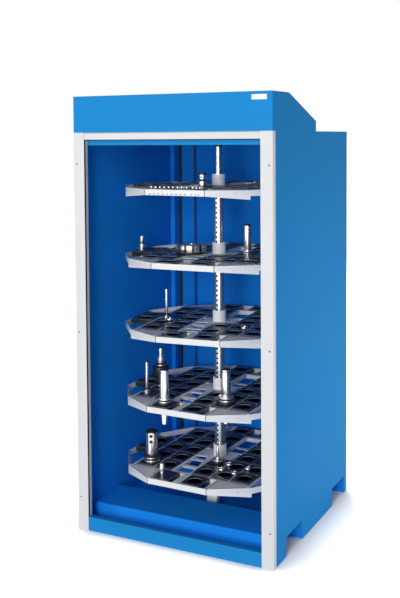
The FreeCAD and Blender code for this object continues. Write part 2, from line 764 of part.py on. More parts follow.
def front_channel_parts():
    """The bars across the front channel, its gusset, and the plate between it and the rim."""
    low = -PLATE_GAUGE
    parts = []
    for reach in CHANNEL_BARS:
        start = -reach - CHANNEL_BAR / 2
        parts.append(box(-CELL_WIDTH, 0, start, start + CHANNEL_BAR, low, 0))
    gusset = [
        Vector(0, -SQUARE_INNER, low), Vector(0, -HUB_PLATE_Y, low),
        Vector(-CHANNEL_GUSSET, -HUB_PLATE_Y, low),
    ]
    parts.append(prism(gusset, Vector(0, 0, PLATE_GAUGE)))
    right = WING_CASSETTE_X - CASSETTE_WIDTH / 2 - CASSETTE_GAP
    left = right - FRONT_PLATE_WIDTH
    parts.append(box(left, right, -LONG_FACE + RIM_WALL, -SQUARE_OUTER, low, 0))
    return parts


def web(x, start, end):
    bottom = CASSETTE_RISE - CASSETTE_HEIGHT
    return box(x - WEB / 2, x + WEB / 2, start, end, bottom, CASSETTE_RISE)


def level_frame():
    """The rim, the square frame, the bars under the cassettes and the plates, welded."""
    bottom = -CASSETTE_HEIGHT + CASSETTE_RISE - BAR_THICKNESS
    rim = rim_prism(0, -RIM_HEIGHT, 0).cut(rim_prism(RIM_WALL, -RIM_HEIGHT, 0))
    ledge = rim_prism(0, bottom, bottom + BAR_THICKNESS)
    ledge = ledge.cut(rim_prism(SQUARE_WALL, bottom, bottom + BAR_THICKNESS))
    outer, inner = SQUARE_OUTER, SQUARE_INNER
    square = box(-outer, outer, -outer, outer, bottom, 0)
    square = square.cut(box(-inner, inner, -inner, inner, bottom, 0))
    pieces = [rim, ledge, square]
    for y in row_edges()[1:-1]:
        pieces.append(box(
            -inner, inner, y - BAR_WIDTH / 2, y + BAR_WIDTH / 2, bottom, bottom + BAR_THICKNESS
        ))
    for x in column_edges()[1:-1]:
        pieces += [web(x, -inner, -HUB_ZONE_Y), web(x, HUB_ZONE_Y, inner)]
    pieces.append(box(-HUB_PLATE_X, HUB_PLATE_X, -HUB_PLATE_Y, HUB_PLATE_Y, -PLATE_GAUGE, 0))
    for x in (-HUB_ZONE_X, HUB_ZONE_X):
        pieces.append(web(x, -HUB_ZONE_Y, HUB_ZONE_Y))
    bar_start = HUB_ZONE_Y - HUB_BAR_WIDTH
    hub_bar = box(-HUB_ZONE_X, HUB_ZONE_X, bar_start, HUB_ZONE_Y, -PLATE_GAUGE, 0)
    pieces += [hub_bar, turned_half(hub_bar)]
    for part in channel_parts():
        pieces += [part, turned_half(part)]
    pieces += front_channel_parts()
    pieces += in_four_corners(corner_plate())
    pieces += in_four_corners(corner_wall())
    hub_hole = cylinder(HUB_RADIUS + RUNNING_CLEARANCE, 2 * RIM_HEIGHT, Vector(0, 0, -RIM_HEIGHT))
    frame = fuse(pieces).cut(hub_hole)
    return frame.common(rim_prism(0, -RIM_CORNER_HEIGHT, CASSETTE_RISE))


def hub():
    base = Vector(0, 0, -RIM_HEIGHT)
    return ring(HUB_RADIUS, COLUMN_RADIUS + RUNNING_CLEARANCE, RIM_HEIGHT + HUB_RISE, base)


def cell_middle(column, row):
    """Middle of a cell of the square frame, counted from its front left corner."""
    x = (column + 0.5 - CELL_COLUMNS / 2) * CELL_WIDTH
    y = (row + 0.5 - CELL_ROWS / 2) * CELL_LENGTH
    return x, y


def cassette_cells():
    """Middle, width and length of each cassette: a grid, and two more on each side of it."""
    cells = []
    width = CASSETTE_WIDTH
    length = CELL_LENGTH - CASSETTE_GAP
    for column in range(CELL_COLUMNS):
        for row in range(CELL_ROWS):
            x, y = cell_middle(column, row)
            in_hub_zone = abs(x) < HUB_ZONE_X and abs(y) < HUB_ZONE_Y
            in_channel = abs(x) < HUB_ZONE_X and x * y > 0
            if not in_hub_zone and not in_channel:
                cells.append((x, y, width, length))
    wing = WING_LENGTH - CASSETTE_GAP
    for side in (-1, 1):
        cells.append((side * -WING_CASSETTE_X, side * WING_MIDDLE, width, wing))
        cells.append((side * CORNER_CASSETTE_X, side * WING_MIDDLE, width, wing))
        for half in (-1, 1):
            cells.append((side * WING_MIDDLE, half * CELL_WIDTH / 2, wing, width))
    return cells


def cassette(cell, seats):
    """One cassette. It has the standard pocket unless a tool has its own seat in it."""
    x, y, width, length = cell
    x0, x1 = x - width / 2, x + width / 2
    y0, y1 = y - length / 2, y + length / 2
    block = box(x0, x1, y0, y1, CASSETTE_RISE - CASSETTE_HEIGHT, CASSETTE_RISE)
    upright = [edge for edge in block.Edges if abs(edge.tangentAt(edge.FirstParameter).z) > 0.9]
    block = block.makeFillet(CASSETTE_CORNER, upright)
    own = [seat for seat in seats if x0 <= seat[0] <= x1 and y0 <= seat[1] <= y1]
    if not own:
        own = [(x, y, POCKET_DIAMETER / 2)]
    base = CASSETTE_RISE - CASSETTE_HEIGHT - 1
    holes = [
        cylinder(radius, CASSETTE_HEIGHT + 2, Vector(seat_x, seat_y, base))
        for seat_x, seat_y, radius in own if radius
    ]
    return cut(block, holes)


# ---- tools on the levels: profiles of radius and height above the cassette's top ------------
def taper():
    """Profile of the taper that hangs in a pocket, from its lower end up to the flange."""
    edge = TAPER_TIP - TAPER_CHAMFER
    return [
        (0, -TAPER_LENGTH), (edge, -TAPER_LENGTH), (TAPER_TIP, -TAPER_LENGTH + TAPER_CHAMFER),
        (TAPER_RADIUS, 0),
    ]


def flange(radius, low, high):
    """Profile of a grooved tool flange."""
    groove = radius - FLANGE_GROOVE
    third = (high - low) / 3
    return [
        (radius, low), (radius, low + third), (groove, low + third), (groove, high - third),
        (radius, high - third), (radius, high),
    ]


def large_holder():
    return taper() + [(48, 0), (48, 6)] + flange(LARGE_FLANGE, 6, 30) + [
        (45, 30), (45, 36), (38, 41), (30.5, 41), (30.5, 152), (31.5, 152), (31.5, 157),
        (20, 163), (4, 168), (0, 168),
    ]


def boring_bar():
    return taper() + [(38, 0), (38, 10)] + flange(BORING_FLANGE, 10, 30) + [
        (21.5, 30), (21.5, 170), (0, 170),
    ]


def stepped_holder():
    return taper() + [
        (31, 0), (31, 18), (25, 18), (25, 66), (43, 72), (43, 104), (34, 110), (26, 110),
        (26, 115), (27, 115), (27, 124), (20, 124), (20, 163), (12, 163), (12, 204), (0, 204),
    ]


def slim_bar():
    return [
        (0, -30), (10, -30), (10, 0), (24, 0), (24, 8), (21, 8), (21, 14), (17, 22), (8.6, 22),
        (8.6, 152), (9.5, 152), (9.5, 161), (0, 165),
    ]


def round_blank():
    return taper() + [(48, 0), (48, 15)] + flange(BLANK_FLANGE, 15, 36) + [
        (22.9, 36), (22.9, 167), (20, 170), (0, 170),
    ]


def short_peg():
    return [(0, -20), (9.5, -20), (9.5, 16), (12, 16), (12, 52), (9, 56), (0, 56)]


def taper_arbor():
    return [
        (0, -20), (12, -20), (12, 0), (28, 0), (28, 12), (29.5, 12), (29.5, 22), (18, 24),
        (18, 29), (10, 29), (4.5, 83), (0, 84),
    ]


def tall_cutter():
    return taper() + flange(CUTTER_FLANGE, 0, 18) + [(19, 18), (19, 150), (0, 152)]


def short_clamp():
    return [(0, -15), (9, -15), (9, 0), (17, 0), (17, 40), (13, 44), (13, 78), (0, 78)]


def face_mill():
    return [(0, 0), (62, 0), (77, 16), (77, 50), (70, 54), (22, 54), (22, 40), (0, 40)]


def small_holder():
    return [
        (0, -15), (11, -15), (11, 0), (20.5, 0), (20.5, 28), (15, 28), (15, 36), (18, 36),
        (18, 60), (22, 60), (22, 66), (0, 68),
    ]


def nut():
    return [(0, 0), (15, 0), (17, 3), (17, 9), (12, 13), (0, 13)]


def collet():
    return [(0, 0), (4.5, 0), (5, 2), (5, 7), (3.5, 9), (0, 9)]


LEFT_FRONT = cell_middle(0, 0)
LEFT_SECOND = cell_middle(0, 1)
LEFT_MIDDLE = cell_middle(0, 2)
LEFT_SIDE = cell_middle(1, 1)
RIGHT_FRONT = cell_middle(4, 0)
HUB_FRONT = cell_middle(3, 1)
RIGHT_SECOND = cell_middle(4, 1)
RIGHT_MIDDLE = cell_middle(4, 2)
FRONT_MIDDLE = cell_middle(3, 0)
RIGHT_SIDE = cell_middle(5, 1)
WING_FRONT = (-CORNER_CASSETTE_X, -WING_MIDDLE)
WING_LEFT = (-WING_MIDDLE, -CELL_WIDTH / 2)

# shape, middle of its cassette, and how far it stands beside that middle
LEVEL_TOOLS = (
    [
        (large_holder, LEFT_FRONT, (6, -6)), (short_peg, WING_FRONT, (-17, 0)),
        (taper_arbor, HUB_FRONT, (0, 0)), (nut, RIGHT_SECOND, (-38, -6)),
        (nut, RIGHT_FRONT, (-40, 40)), (nut, RIGHT_SIDE, (-34, -16)),
        (nut, RIGHT_FRONT, (40, 22)),
    ],
    [
        (slim_bar, LEFT_FRONT, (-29, 8)), (boring_bar, WING_FRONT, (0, 0)),
        (stepped_holder, LEFT_SECOND, (-22, 8)), (round_blank, RIGHT_FRONT, (6, 2)),
    ],
    [
        (slim_bar, LEFT_MIDDLE, (-22, -25)), (nut, LEFT_SECOND, (22, 36)),
        (nut, RIGHT_SECOND, (32, -44)),
    ],
    [
        (short_clamp, WING_LEFT, (-18, -16)), (face_mill, LEFT_SIDE, (50, 14)),
        (tall_cutter, RIGHT_MIDDLE, (0, 0)),
    ],
    [(small_holder, FRONT_MIDDLE, (-22, 22))],
)


def seat_radius(profile):
    """Radius of a tool where it passes the cassette's top, or 0 for a piece that stands on it."""
    below = [radius for radius, height in profile if height < 0]
    if not below:
        return 0
    return max(radius for radius, height in profile if height <= 0 and radius <= TAPER_RADIUS)


def tool_seats(level):
    seats = []
    for shape, middle, aside in LEVEL_TOOLS[level]:
        radius = seat_radius(shape())
        if radius:
            seats.append((middle[0] + aside[0], middle[1] + aside[1], radius + TOOL_CLEARANCE))
    return seats


def level_tools(level):
    tools = []
    for shape, middle, aside in LEVEL_TOOLS[level]:
        place = Vector(middle[0] + aside[0], middle[1] + aside[1], CASSETTE_RISE)
        tools.append(revolved(shape(), place))
    if level == LEVEL_COUNT - 1:
        tools += collet_row()
    return tools


def collet_row():
    """Small collets on a strip along the front of the top level, and the strip itself."""
    front = -LONG_FACE + RIM_WALL + RACK_INSET
    half = RACK_LENGTH / 2
    top = CASSETTE_RISE + RACK_THICKNESS
    strip = box(-half, half, front, front + RACK_WIDTH, CASSETTE_RISE, top)
    places = [COLLET_START + number * COLLET_PITCH for number in range(COLLET_COUNT)]
    places += [SPARE_START + number * SPARE_PITCH for number in range(SPARE_COUNT)]
    middle = front + RACK_WIDTH / 2
    return [strip] + [revolved(collet(), Vector(x, middle, top)) for x in places]


def place_level(shape, level):
    placed = shape.copy()
    placed.rotate(Vector(0, 0, 0), UP, LEVEL_TURNS[level])
    placed.translate(Vector(0, COLUMN_Y, level_height(level)))
    return placed


# ---- writing the nodes --------------------------------------------------------------------
def save(node, shapes):
    solids = shapes if isinstance(shapes, list) else [shapes]
    shape = solids[0] if len(solids) == 1 else Part.makeCompound(solids)
    shape.exportStep(os.path.join("parts", node + ".step"))


def save_pair(name, right):
    save(name + "_right", right)
    save(name + "_left", mirrored(right))


def save_cabinet():
    save_pair("side_panel", side_panel())
    save("back_wall_middle", back_wall_middle())
    save_pair("back_wall_side", back_wall_side())
    save("back_skirt", back_skirt())
    save("seam_straps", seam_straps())
    save_pair("corner_post", corner_post())
    save("top_panel", top_panel())
    save("lintel", lintel())
    save("fork_tunnel_front", tunnel(front_notch()))
    save("fork_tunnel_rear", tunnel(rear_notch()))
    save("floor_plates", floor_plates())
    save("front_sill", sill())


def save_front():
    save_pair("guide_rail", guide_rail())
    save("rail_screws", rail_screws())
    save("head_cover", head_cover())
    save_pair("head_end", head_end())
    save("bare_plate", bare_plate())


def save_shutter():
    save("end_rail", end_rail())
    save("end_rail_seal", end_rail_seal())
    save("flat_curtain", flat_curtain())
    save("rolled_curtain", rolled_curtain())
    save("roller_tube", roller_tube())
    save("roller_plugs", both_sides(roller_plug()))
    save("counter_spring", counter_spring())
    save("roller_brackets", both_sides(roller_bracket()))


def save_column():
    save("column", column())
    save("column_journal", journal())
    save("column_foot", column_foot())
    save("foot_bolts", foot_bolts())
    save("top_bearing", top_bearing())
    save("top_beam", top_beam())
    save("support_collars", collars())
    save("collar_pins", [collar_pin(level) for level in range(LEVEL_COUNT)])
    save("thrust_washers", thrust_washers())


def save_levels():
    frame = level_frame()
    bearing_hub = hub()
    cells = cassette_cells()
    for level in range(LEVEL_COUNT):
        name = "level_" + str(level + 1)
        seats = tool_seats(level)
        save(name + "_frame", place_level(frame, level))
        save(name + "_hub", place_level(bearing_hub, level))
        cassettes = [place_level(cassette(cell, seats), level) for cell in cells]
        save(name + "_cassettes", cassettes)
        save(name + "_tools", [place_level(tool, level) for tool in level_tools(level)])


os.makedirs("parts", exist_ok=True)
save_cabinet()
save_front()
save_shutter()
save_column()
save_levels()
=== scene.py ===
"""Rotary tool cabinet: the finished look of its sheet metal, roller shutter and five tool levels.

Everything is in metres, in the cabinet's own frame: the origin is on the floor under the middle of
the cabinet, +Z is up and the open side faces -Y.
"""

import json
import math

import bmesh
import bpy
from bpy.props import FloatProperty, FloatVectorProperty, IntProperty, PointerProperty
from mathutils import Matrix, Vector

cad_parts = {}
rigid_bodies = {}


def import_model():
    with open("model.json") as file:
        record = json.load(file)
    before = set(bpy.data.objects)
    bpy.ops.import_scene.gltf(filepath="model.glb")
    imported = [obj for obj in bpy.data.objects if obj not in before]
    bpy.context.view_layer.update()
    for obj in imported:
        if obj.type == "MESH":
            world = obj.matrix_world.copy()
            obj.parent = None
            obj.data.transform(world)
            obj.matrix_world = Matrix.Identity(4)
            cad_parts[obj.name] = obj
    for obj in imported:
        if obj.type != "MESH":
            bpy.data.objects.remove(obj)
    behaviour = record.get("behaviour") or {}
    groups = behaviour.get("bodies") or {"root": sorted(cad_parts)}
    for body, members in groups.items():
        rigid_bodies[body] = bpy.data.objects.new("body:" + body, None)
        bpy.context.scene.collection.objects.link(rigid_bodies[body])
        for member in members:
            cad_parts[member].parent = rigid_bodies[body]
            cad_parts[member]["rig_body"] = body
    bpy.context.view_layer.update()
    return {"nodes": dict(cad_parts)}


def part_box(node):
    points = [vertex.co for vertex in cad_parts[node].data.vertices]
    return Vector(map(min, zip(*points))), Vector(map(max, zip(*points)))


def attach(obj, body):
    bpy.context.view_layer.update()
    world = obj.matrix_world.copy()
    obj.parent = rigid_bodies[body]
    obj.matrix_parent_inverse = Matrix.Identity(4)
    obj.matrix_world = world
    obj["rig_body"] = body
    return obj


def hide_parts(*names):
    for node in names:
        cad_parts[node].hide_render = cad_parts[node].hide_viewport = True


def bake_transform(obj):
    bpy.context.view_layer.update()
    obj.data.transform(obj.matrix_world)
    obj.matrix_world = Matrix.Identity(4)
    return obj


bl_info = {
    "name": "Rotary tool cabinet",
    "version": (1, 0, 0),
    "blender": (4, 5, 0),
    "location": "3D View > Sidebar > Tool cabinet",
    "description": "Builds the pieces, finishes and studio of a rotary tool cabinet",
    "category": "Object",
}

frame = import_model()
NODES = frame["nodes"]

MM = 0.001
SHARP_ANGLE = 35            # degrees; an edge that turns further is sharp
FLAT_ANGLE = 0.5            # degrees; faces that turn less are one face
SAME_POINT = 1e-6           # metres; points that lie closer are one
SAME_CAD_POINT = 1e-5       # the same, on a CAD node
WIDE_FACE = 6 * MM          # a folded edge has wider faces on both sides
RING_STEPS = 32             # points of every ring, so that rings can be bridged
LEVELS = range(5)
LEVEL_NAMES = [f"level_{level + 1}" for level in LEVELS]
COLUMN_Y = sum(corner.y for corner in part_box("column")) / 2
LEVEL_TURNS = (-2.0, -2.0, 6.0, 3.0, -2.0)  # degrees, lowest level first
HUB_RISE = 58 * MM          # hub top above the rim's top
WEB = 2 * MM                # sheet between two columns of cassettes
CELL_COLUMNS, CELL_ROWS = 6, 5
# half width, front, back and top of two places painted as shade: the cabinet's shaded inside, in a
# deeper blue, and the rails' slots, near black
INNER_SHADE_BOX = 516.6 * MM, -492.5 * MM, 522.2 * MM, 1889 * MM
SLOT_SHADE_BOX = 484.6 * MM, -522.1 * MM, -509.9 * MM, 1955 * MM
# painted shade: near black for the rails' slots
SLOT_SHADE = 0.010, 0.012, 0.014
# painted shade: the column's holes and its inside are painted near black below this radius
COLUMN_SKIN = 26.4 * MM     # the column's holes are dark below this radius
HOLE_SHADE = 0.006, 0.010, 0.014

BLUE = "blue powder coat"
RAIL_GREY = "rail powder coat"
FRAME_GREY = "frame powder coat"
HUB_METAL = "turned hub"
TUBE_METAL = "bright tube"
JOURNAL_METAL = "bright journal"
CASSETTE_BLACK = "black cassette plastic"
# partly wear, partly painted highlight: a lighter blue-grey on the cassettes' top chamfers and
# pocket steps
WORN_HIGHLIT_EDGE = "worn cassette edge with painted highlight"
STEEL = "ground tool steel"
BLACK_STEEL = "blackened steel"
# painted shade: near black in pockets, bores, sockets, slits and rim grooves; on the corner plates'
# joints it is the joints' own dark colour
JOINT_BLACK_AND_BORE_SHADE = "dark joints and painted bore shade"
BEARING_BLACK = "black bearing housing"
BRONZE = "oiled bronze"
SLAT_GREY = "shutter slats"
END_RAIL_METAL = "anodised end rail"
RUBBER = "black rubber lip"
ZINC = "zinc-plated steel"
SCREW_STEEL = "screw steel"
DARK_SCREW = "darkened screw heads"
PLATE_WHITE = "bare white plate"


# ---- settings ----
def coat(name, description, default):
    """The colour of a finish."""
    return FloatVectorProperty(
        name=name, description=description, subtype="COLOR", size=3, min=0.0, max=1.0,
        default=default,
    )


def metres(name, description, default, least):
    """A length, with its least value."""
    return FloatProperty(
        name=name, description=description, unit="LENGTH", min=least, default=default
    )


def watts(name, description, default):
    """The power of a light."""
    return FloatProperty(
        name=name, description=description, unit="POWER", min=0.0, default=default
    )


class CabinetColours(bpy.types.PropertyGroup):
    blue: coat("Body blue", "Powder coat of the cabinet's sheet metal", (0.017, 0.252, 0.620))
    # painted shade: inside the cabinet the body blue gets a deeper, richer copy, for the look of
    # the coat in shade
    inside: coat(
        "Inner blue", "The same coat inside, deeper and richer as painted shade", (0.012, 0.262, 0.860)
    )
    rail: coat("Rail grey", "Powder coat of the two guide rails", (0.69, 0.705, 0.725))
    frame: coat("Frame grey", "Powder coat of the levels' frames", (0.78, 0.80, 0.82))
    cassette: coat("Cassette black", "Moulded plastic of the cassettes", (0.018, 0.020, 0.026))
    slat: coat("Slat grey", "Extruded slats of the roller shutter", (0.62, 0.63, 0.65))


class SheetMetalSizes(bpy.types.PropertyGroup):
    bend: metres("Bend radius", "Outer radius where a sheet is folded", 0.0025, 0.0005)
    edge: metres("Edge radius", "Softening of a cut sheet edge", 0.0005, 0.0001)
    screw: metres("Screw head", "Diameter of the screw heads on the guide rails", 0.008, 0.002)


class LevelSizes(bpy.types.PropertyGroup):
    corner_reach: metres("Corner reach", "Middle of a level to a corner of its rim", 0.485, 0.1)
    long_edge: metres("Long edge", "Length of the rim's four long edges", 0.326, 0.05)
    rim_height: metres("Rim height", "Height of a level's rim", 0.028, 0.005)
    rim_wall: metres("Rim wall", "Thickness of the rim's sheet", 0.003, 0.001)
    square_wall: metres("Square bar", "Width of the bars of the square frame", 0.013, 0.002)
    rivet: metres("Rivet", "Diameter of the rivets in the corner plates", 0.009, 0.001)


class CassetteSizes(bpy.types.PropertyGroup):
    cell_width: metres("Cell width", "Pitch of the cassettes from left to right", 0.105, 0.02)
    cell_length: metres("Cell length", "Pitch of the cassettes from front to back", 0.126, 0.02)
    height: metres("Height", "Height of a cassette", 0.024, 0.005)
    rise: metres("Rise", "Cassette top above the rim's top", 0.004, 0.0)
    gap: metres("Gap", "Gap between two cassettes in a row", 0.002, 0.0005)
    corner: metres("Corner radius", "Radius of a cassette's upright corners", 0.004, 0.001)
    pocket: metres("Pocket diameter", "Standard pocket for a tool holder", 0.063, 0.01)
    wing_place: metres(
        "Wing place", "Middle of a long edge to the cassette on its one side", 0.066, 0.0
    )
    step: metres("Pocket step", "Width of the sunk ring round a pocket", 0.0045, 0.001)
    step_depth: metres("Step depth", "Depth of the sunk ring round a pocket", 0.003, 0.0005)
    chamfer: metres("Top chamfer", "Chamfer round a cassette's top", 0.0014, 0.0002)


class ShutterSizes(bpy.types.PropertyGroup):
    travel: metres("Travel", "Way of the end rail from open to closed", 1.8437, 0.1)
    slats: IntProperty(
        name="Slats", description="Slats that show when the shutter is closed", min=10, default=43,
    )
    slat_depth: metres("Slat depth", "Front to back of a slat", 0.007, 0.002)


class StudioSettings(bpy.types.PropertyGroup):
    key: watts("Key light", "Power of the large light in front, a little to the right", 330.0)
    front: watts("Front light", "Power of the low light in front", 230.0)
    side: watts("Left light", "Power of the light in front, at the left", 95.0)
    fill: watts("Low light", "Power of the light low at the right", 26.0)
    back: watts("Back light", "Power of the light behind the cabinet", 420.0)
    sky: FloatProperty(
        name="Surroundings", description="Strength of the even light from all round",
        min=0.0, default=0.16,
    )


# ---- shapes ----
def block(bm, low, high):
    """A box between two corners."""
    made = bmesh.ops.create_cube(bm, size=1.0)["verts"]
    low, high = Vector(low), Vector(high)
    bmesh.ops.scale(bm, vec=high - low, verts=made)
    bmesh.ops.translate(bm, vec=(low + high) / 2, verts=made)
    return made


def template(bm, name="template"):
    """The mesh of a finished bmesh; stamp() can add it to a piece any number of times."""
    mesh = bpy.data.meshes.new(name)
    bm.to_mesh(mesh)
    bm.free()
    return mesh


def add_object(name, data):
    made = bpy.data.objects.new(name, data)
    bpy.context.scene.collection.objects.link(made)
    return made


def stamp(bm, pattern, move=Matrix.Identity(4)):
    """Adds a copy of a template, moved by a matrix."""
    copy = pattern.copy()
    copy.transform(move)
    bm.from_mesh(copy)
    bpy.data.meshes.remove(copy)


def turned(profile, steps, finish, round_edges=0.6 * MM):
    """A turned solid about Z. The profile holds (radius, height) in millimetres, axis to axis."""
    bm = bmesh.new()
    points = [bm.verts.new((radius * MM, 0.0, height * MM)) for radius, height in profile]
    runs = [bm.edges.new(pair) for pair in zip(points, points[1:])]
    bmesh.ops.spin(
        bm, geom=points + runs, cent=(0, 0, 0), axis=(0, 0, 1),
        angle=math.tau, steps=steps, use_merge=True,
    )
    bmesh.ops.remove_doubles(bm, verts=bm.verts, dist=SAME_POINT)
    bmesh.ops.recalc_face_normals(bm, faces=bm.faces)
    if round_edges:
        soften(bm, bm.edges, round_edges)
    give_finish(bm.faces, finish)
    return template(bm)


def flat_mark(low, high, finish):
    """A thin block in one finish, for a mark that lies in a surface."""
    bm = bmesh.new()
    block(bm, low, high)
    give_finish(bm.faces, finish)
    return template(bm)


def give_finish(faces, finish):
    """Puts faces in one of the finishes of their piece."""
    for face in faces:
        face.material_index = finish


def faces_of(verts):
    return list({face for vert in verts for face in vert.link_faces})


def edges_of(verts):
    return list({edge for vert in verts for edge in vert.link_edges})


def soften(bm, edges, radius, segments=2):
    """Rounds the sharp edges among those given."""
    limit = math.radians(SHARP_ANGLE)
    sharp = [
        edge for edge in edges
        if len(edge.link_faces) == 2 and edge.calc_face_angle(0.0) > limit
    ]
    bmesh.ops.bevel(
        bm, geom=sharp, offset=radius, segments=segments, profile=0.5,
        affect="EDGES", material=-1, clamp_overlap=True,
    )


def circle_loop(bm, radius, height, centre):
    """A ring of edges about an upright axis."""
    made = bmesh.ops.create_circle(bm, cap_ends=False, radius=radius, segments=RING_STEPS)["verts"]
    bmesh.ops.translate(bm, vec=(*centre, height), verts=made)
    return edges_of(made)


def rounded_loop(bm, width, length, corner, height):
    """A rectangle with round corners, as a ring of edges about the origin."""
    made = bmesh.ops.create_grid(bm, x_segments=1, y_segments=1, size=0.5)["verts"]
    bmesh.ops.scale(bm, vec=(width, length, 1.0), verts=made)
    bmesh.ops.translate(bm, vec=(0, 0, height), verts=made)
    ring = bmesh.ops.bevel(
        bm, geom=made, offset=corner, segments=RING_STEPS // 4 - 1, profile=0.5,
        affect="VERTICES", material=-1,
    )
    bmesh.ops.delete(bm, geom=faces_of(ring["verts"]), context="FACES_ONLY")
    return edges_of(ring["verts"])


def bridge(bm, rings, finishes):
    """Skins a closed row of edge rings, one to the next, each skin in its own finish."""
    for near, far, finish in zip(rings, rings[1:] + rings[:1], finishes):
        give_finish(bmesh.ops.bridge_loops(bm, edges=near + far)["faces"], finish)


def level_place(level):
    """From a level's own frame, with the rim's top at height 0, to its place on the column."""
    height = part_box(LEVEL_NAMES[level] + "_hub")[1].z - HUB_RISE
    turn = Matrix.Rotation(math.radians(LEVEL_TURNS[level]), 4, "Z")
    return Matrix.Translation((0, COLUMN_Y, height)) @ turn


def make_piece(name, bm, body, finishes, stands_for=(), smooth=SHARP_ANGLE):
    """Turns a bmesh into a finished piece that rides on a body."""
    mesh = template(bm, name)
    for finish in finishes:
        mesh.materials.append(bpy.data.materials[finish])
    mesh.shade_smooth()
    mesh.set_sharp_from_angle(angle=math.radians(smooth))
    piece = add_object(name, mesh)
    if body:
        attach(piece, body)
    if stands_for:
        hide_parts(*stands_for)
    return piece


def merged_copy(node):
    """A CAD node's shape with its loose triangles joined and its flat faces made whole."""
    bm = bmesh.new()
    bm.from_mesh(NODES[node].data)
    bmesh.ops.remove_doubles(bm, verts=bm.verts, dist=SAME_CAD_POINT)
    bmesh.ops.dissolve_limit(
        bm, angle_limit=math.radians(FLAT_ANGLE), verts=bm.verts, edges=bm.edges,
        use_dissolve_boundaries=False,
    )
    return bm


def face_breadth(face, edge):
    return face.calc_area() / max(edge.calc_length(), SAME_POINT)


def bent_copy(node, finish, sizes):
    """A CAD sheet with rounded folds and softened cut edges."""
    bm = merged_copy(node)
    weight = bm.edges.layers.float.new("bevel_weight_edge")
    for edge in bm.edges:
        if len(edge.link_faces) != 2 or edge.calc_face_angle(0.0) < math.radians(SHARP_ANGLE):
            continue
        fold = edge.is_convex and all(
            face_breadth(face, edge) > WIDE_FACE for face in edge.link_faces
        )
        edge[weight] = 1.0 if fold else sizes.edge / sizes.bend
    piece = make_piece(
        node + "_sheet", bm, NODES[node]["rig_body"], [finish], stands_for=[node]
    )
    rounding = piece.modifiers.new("Rounded folds", "BEVEL")
    rounding.limit_method = "WEIGHT"
    rounding.width = sizes.bend
    rounding.segments = 3
    rounding.profile = 0.5


# ---- finishes ----
def calculate(tree, operation, first, second=0.0):
    """One number worked out from one or two others."""
    node = tree.nodes.new("ShaderNodeMath")
    node.operation = operation
    for socket, value in zip(node.inputs, (first, second)):
        if isinstance(value, float):
            socket.default_value = value
        else:
            tree.links.new(value, socket)
    return node.outputs["Value"]


def map_range(tree, value, old, new, curve="LINEAR"):
    """A value carried over from one range to another."""
    node = tree.nodes.new("ShaderNodeMapRange")
    node.interpolation_type = curve
    for socket, limit in zip(("From Min", "From Max", "To Min", "To Max"), (*old, *new)):
        node.inputs[socket].default_value = limit
    tree.links.new(value, node.inputs["Value"])
    return node.outputs["Result"]


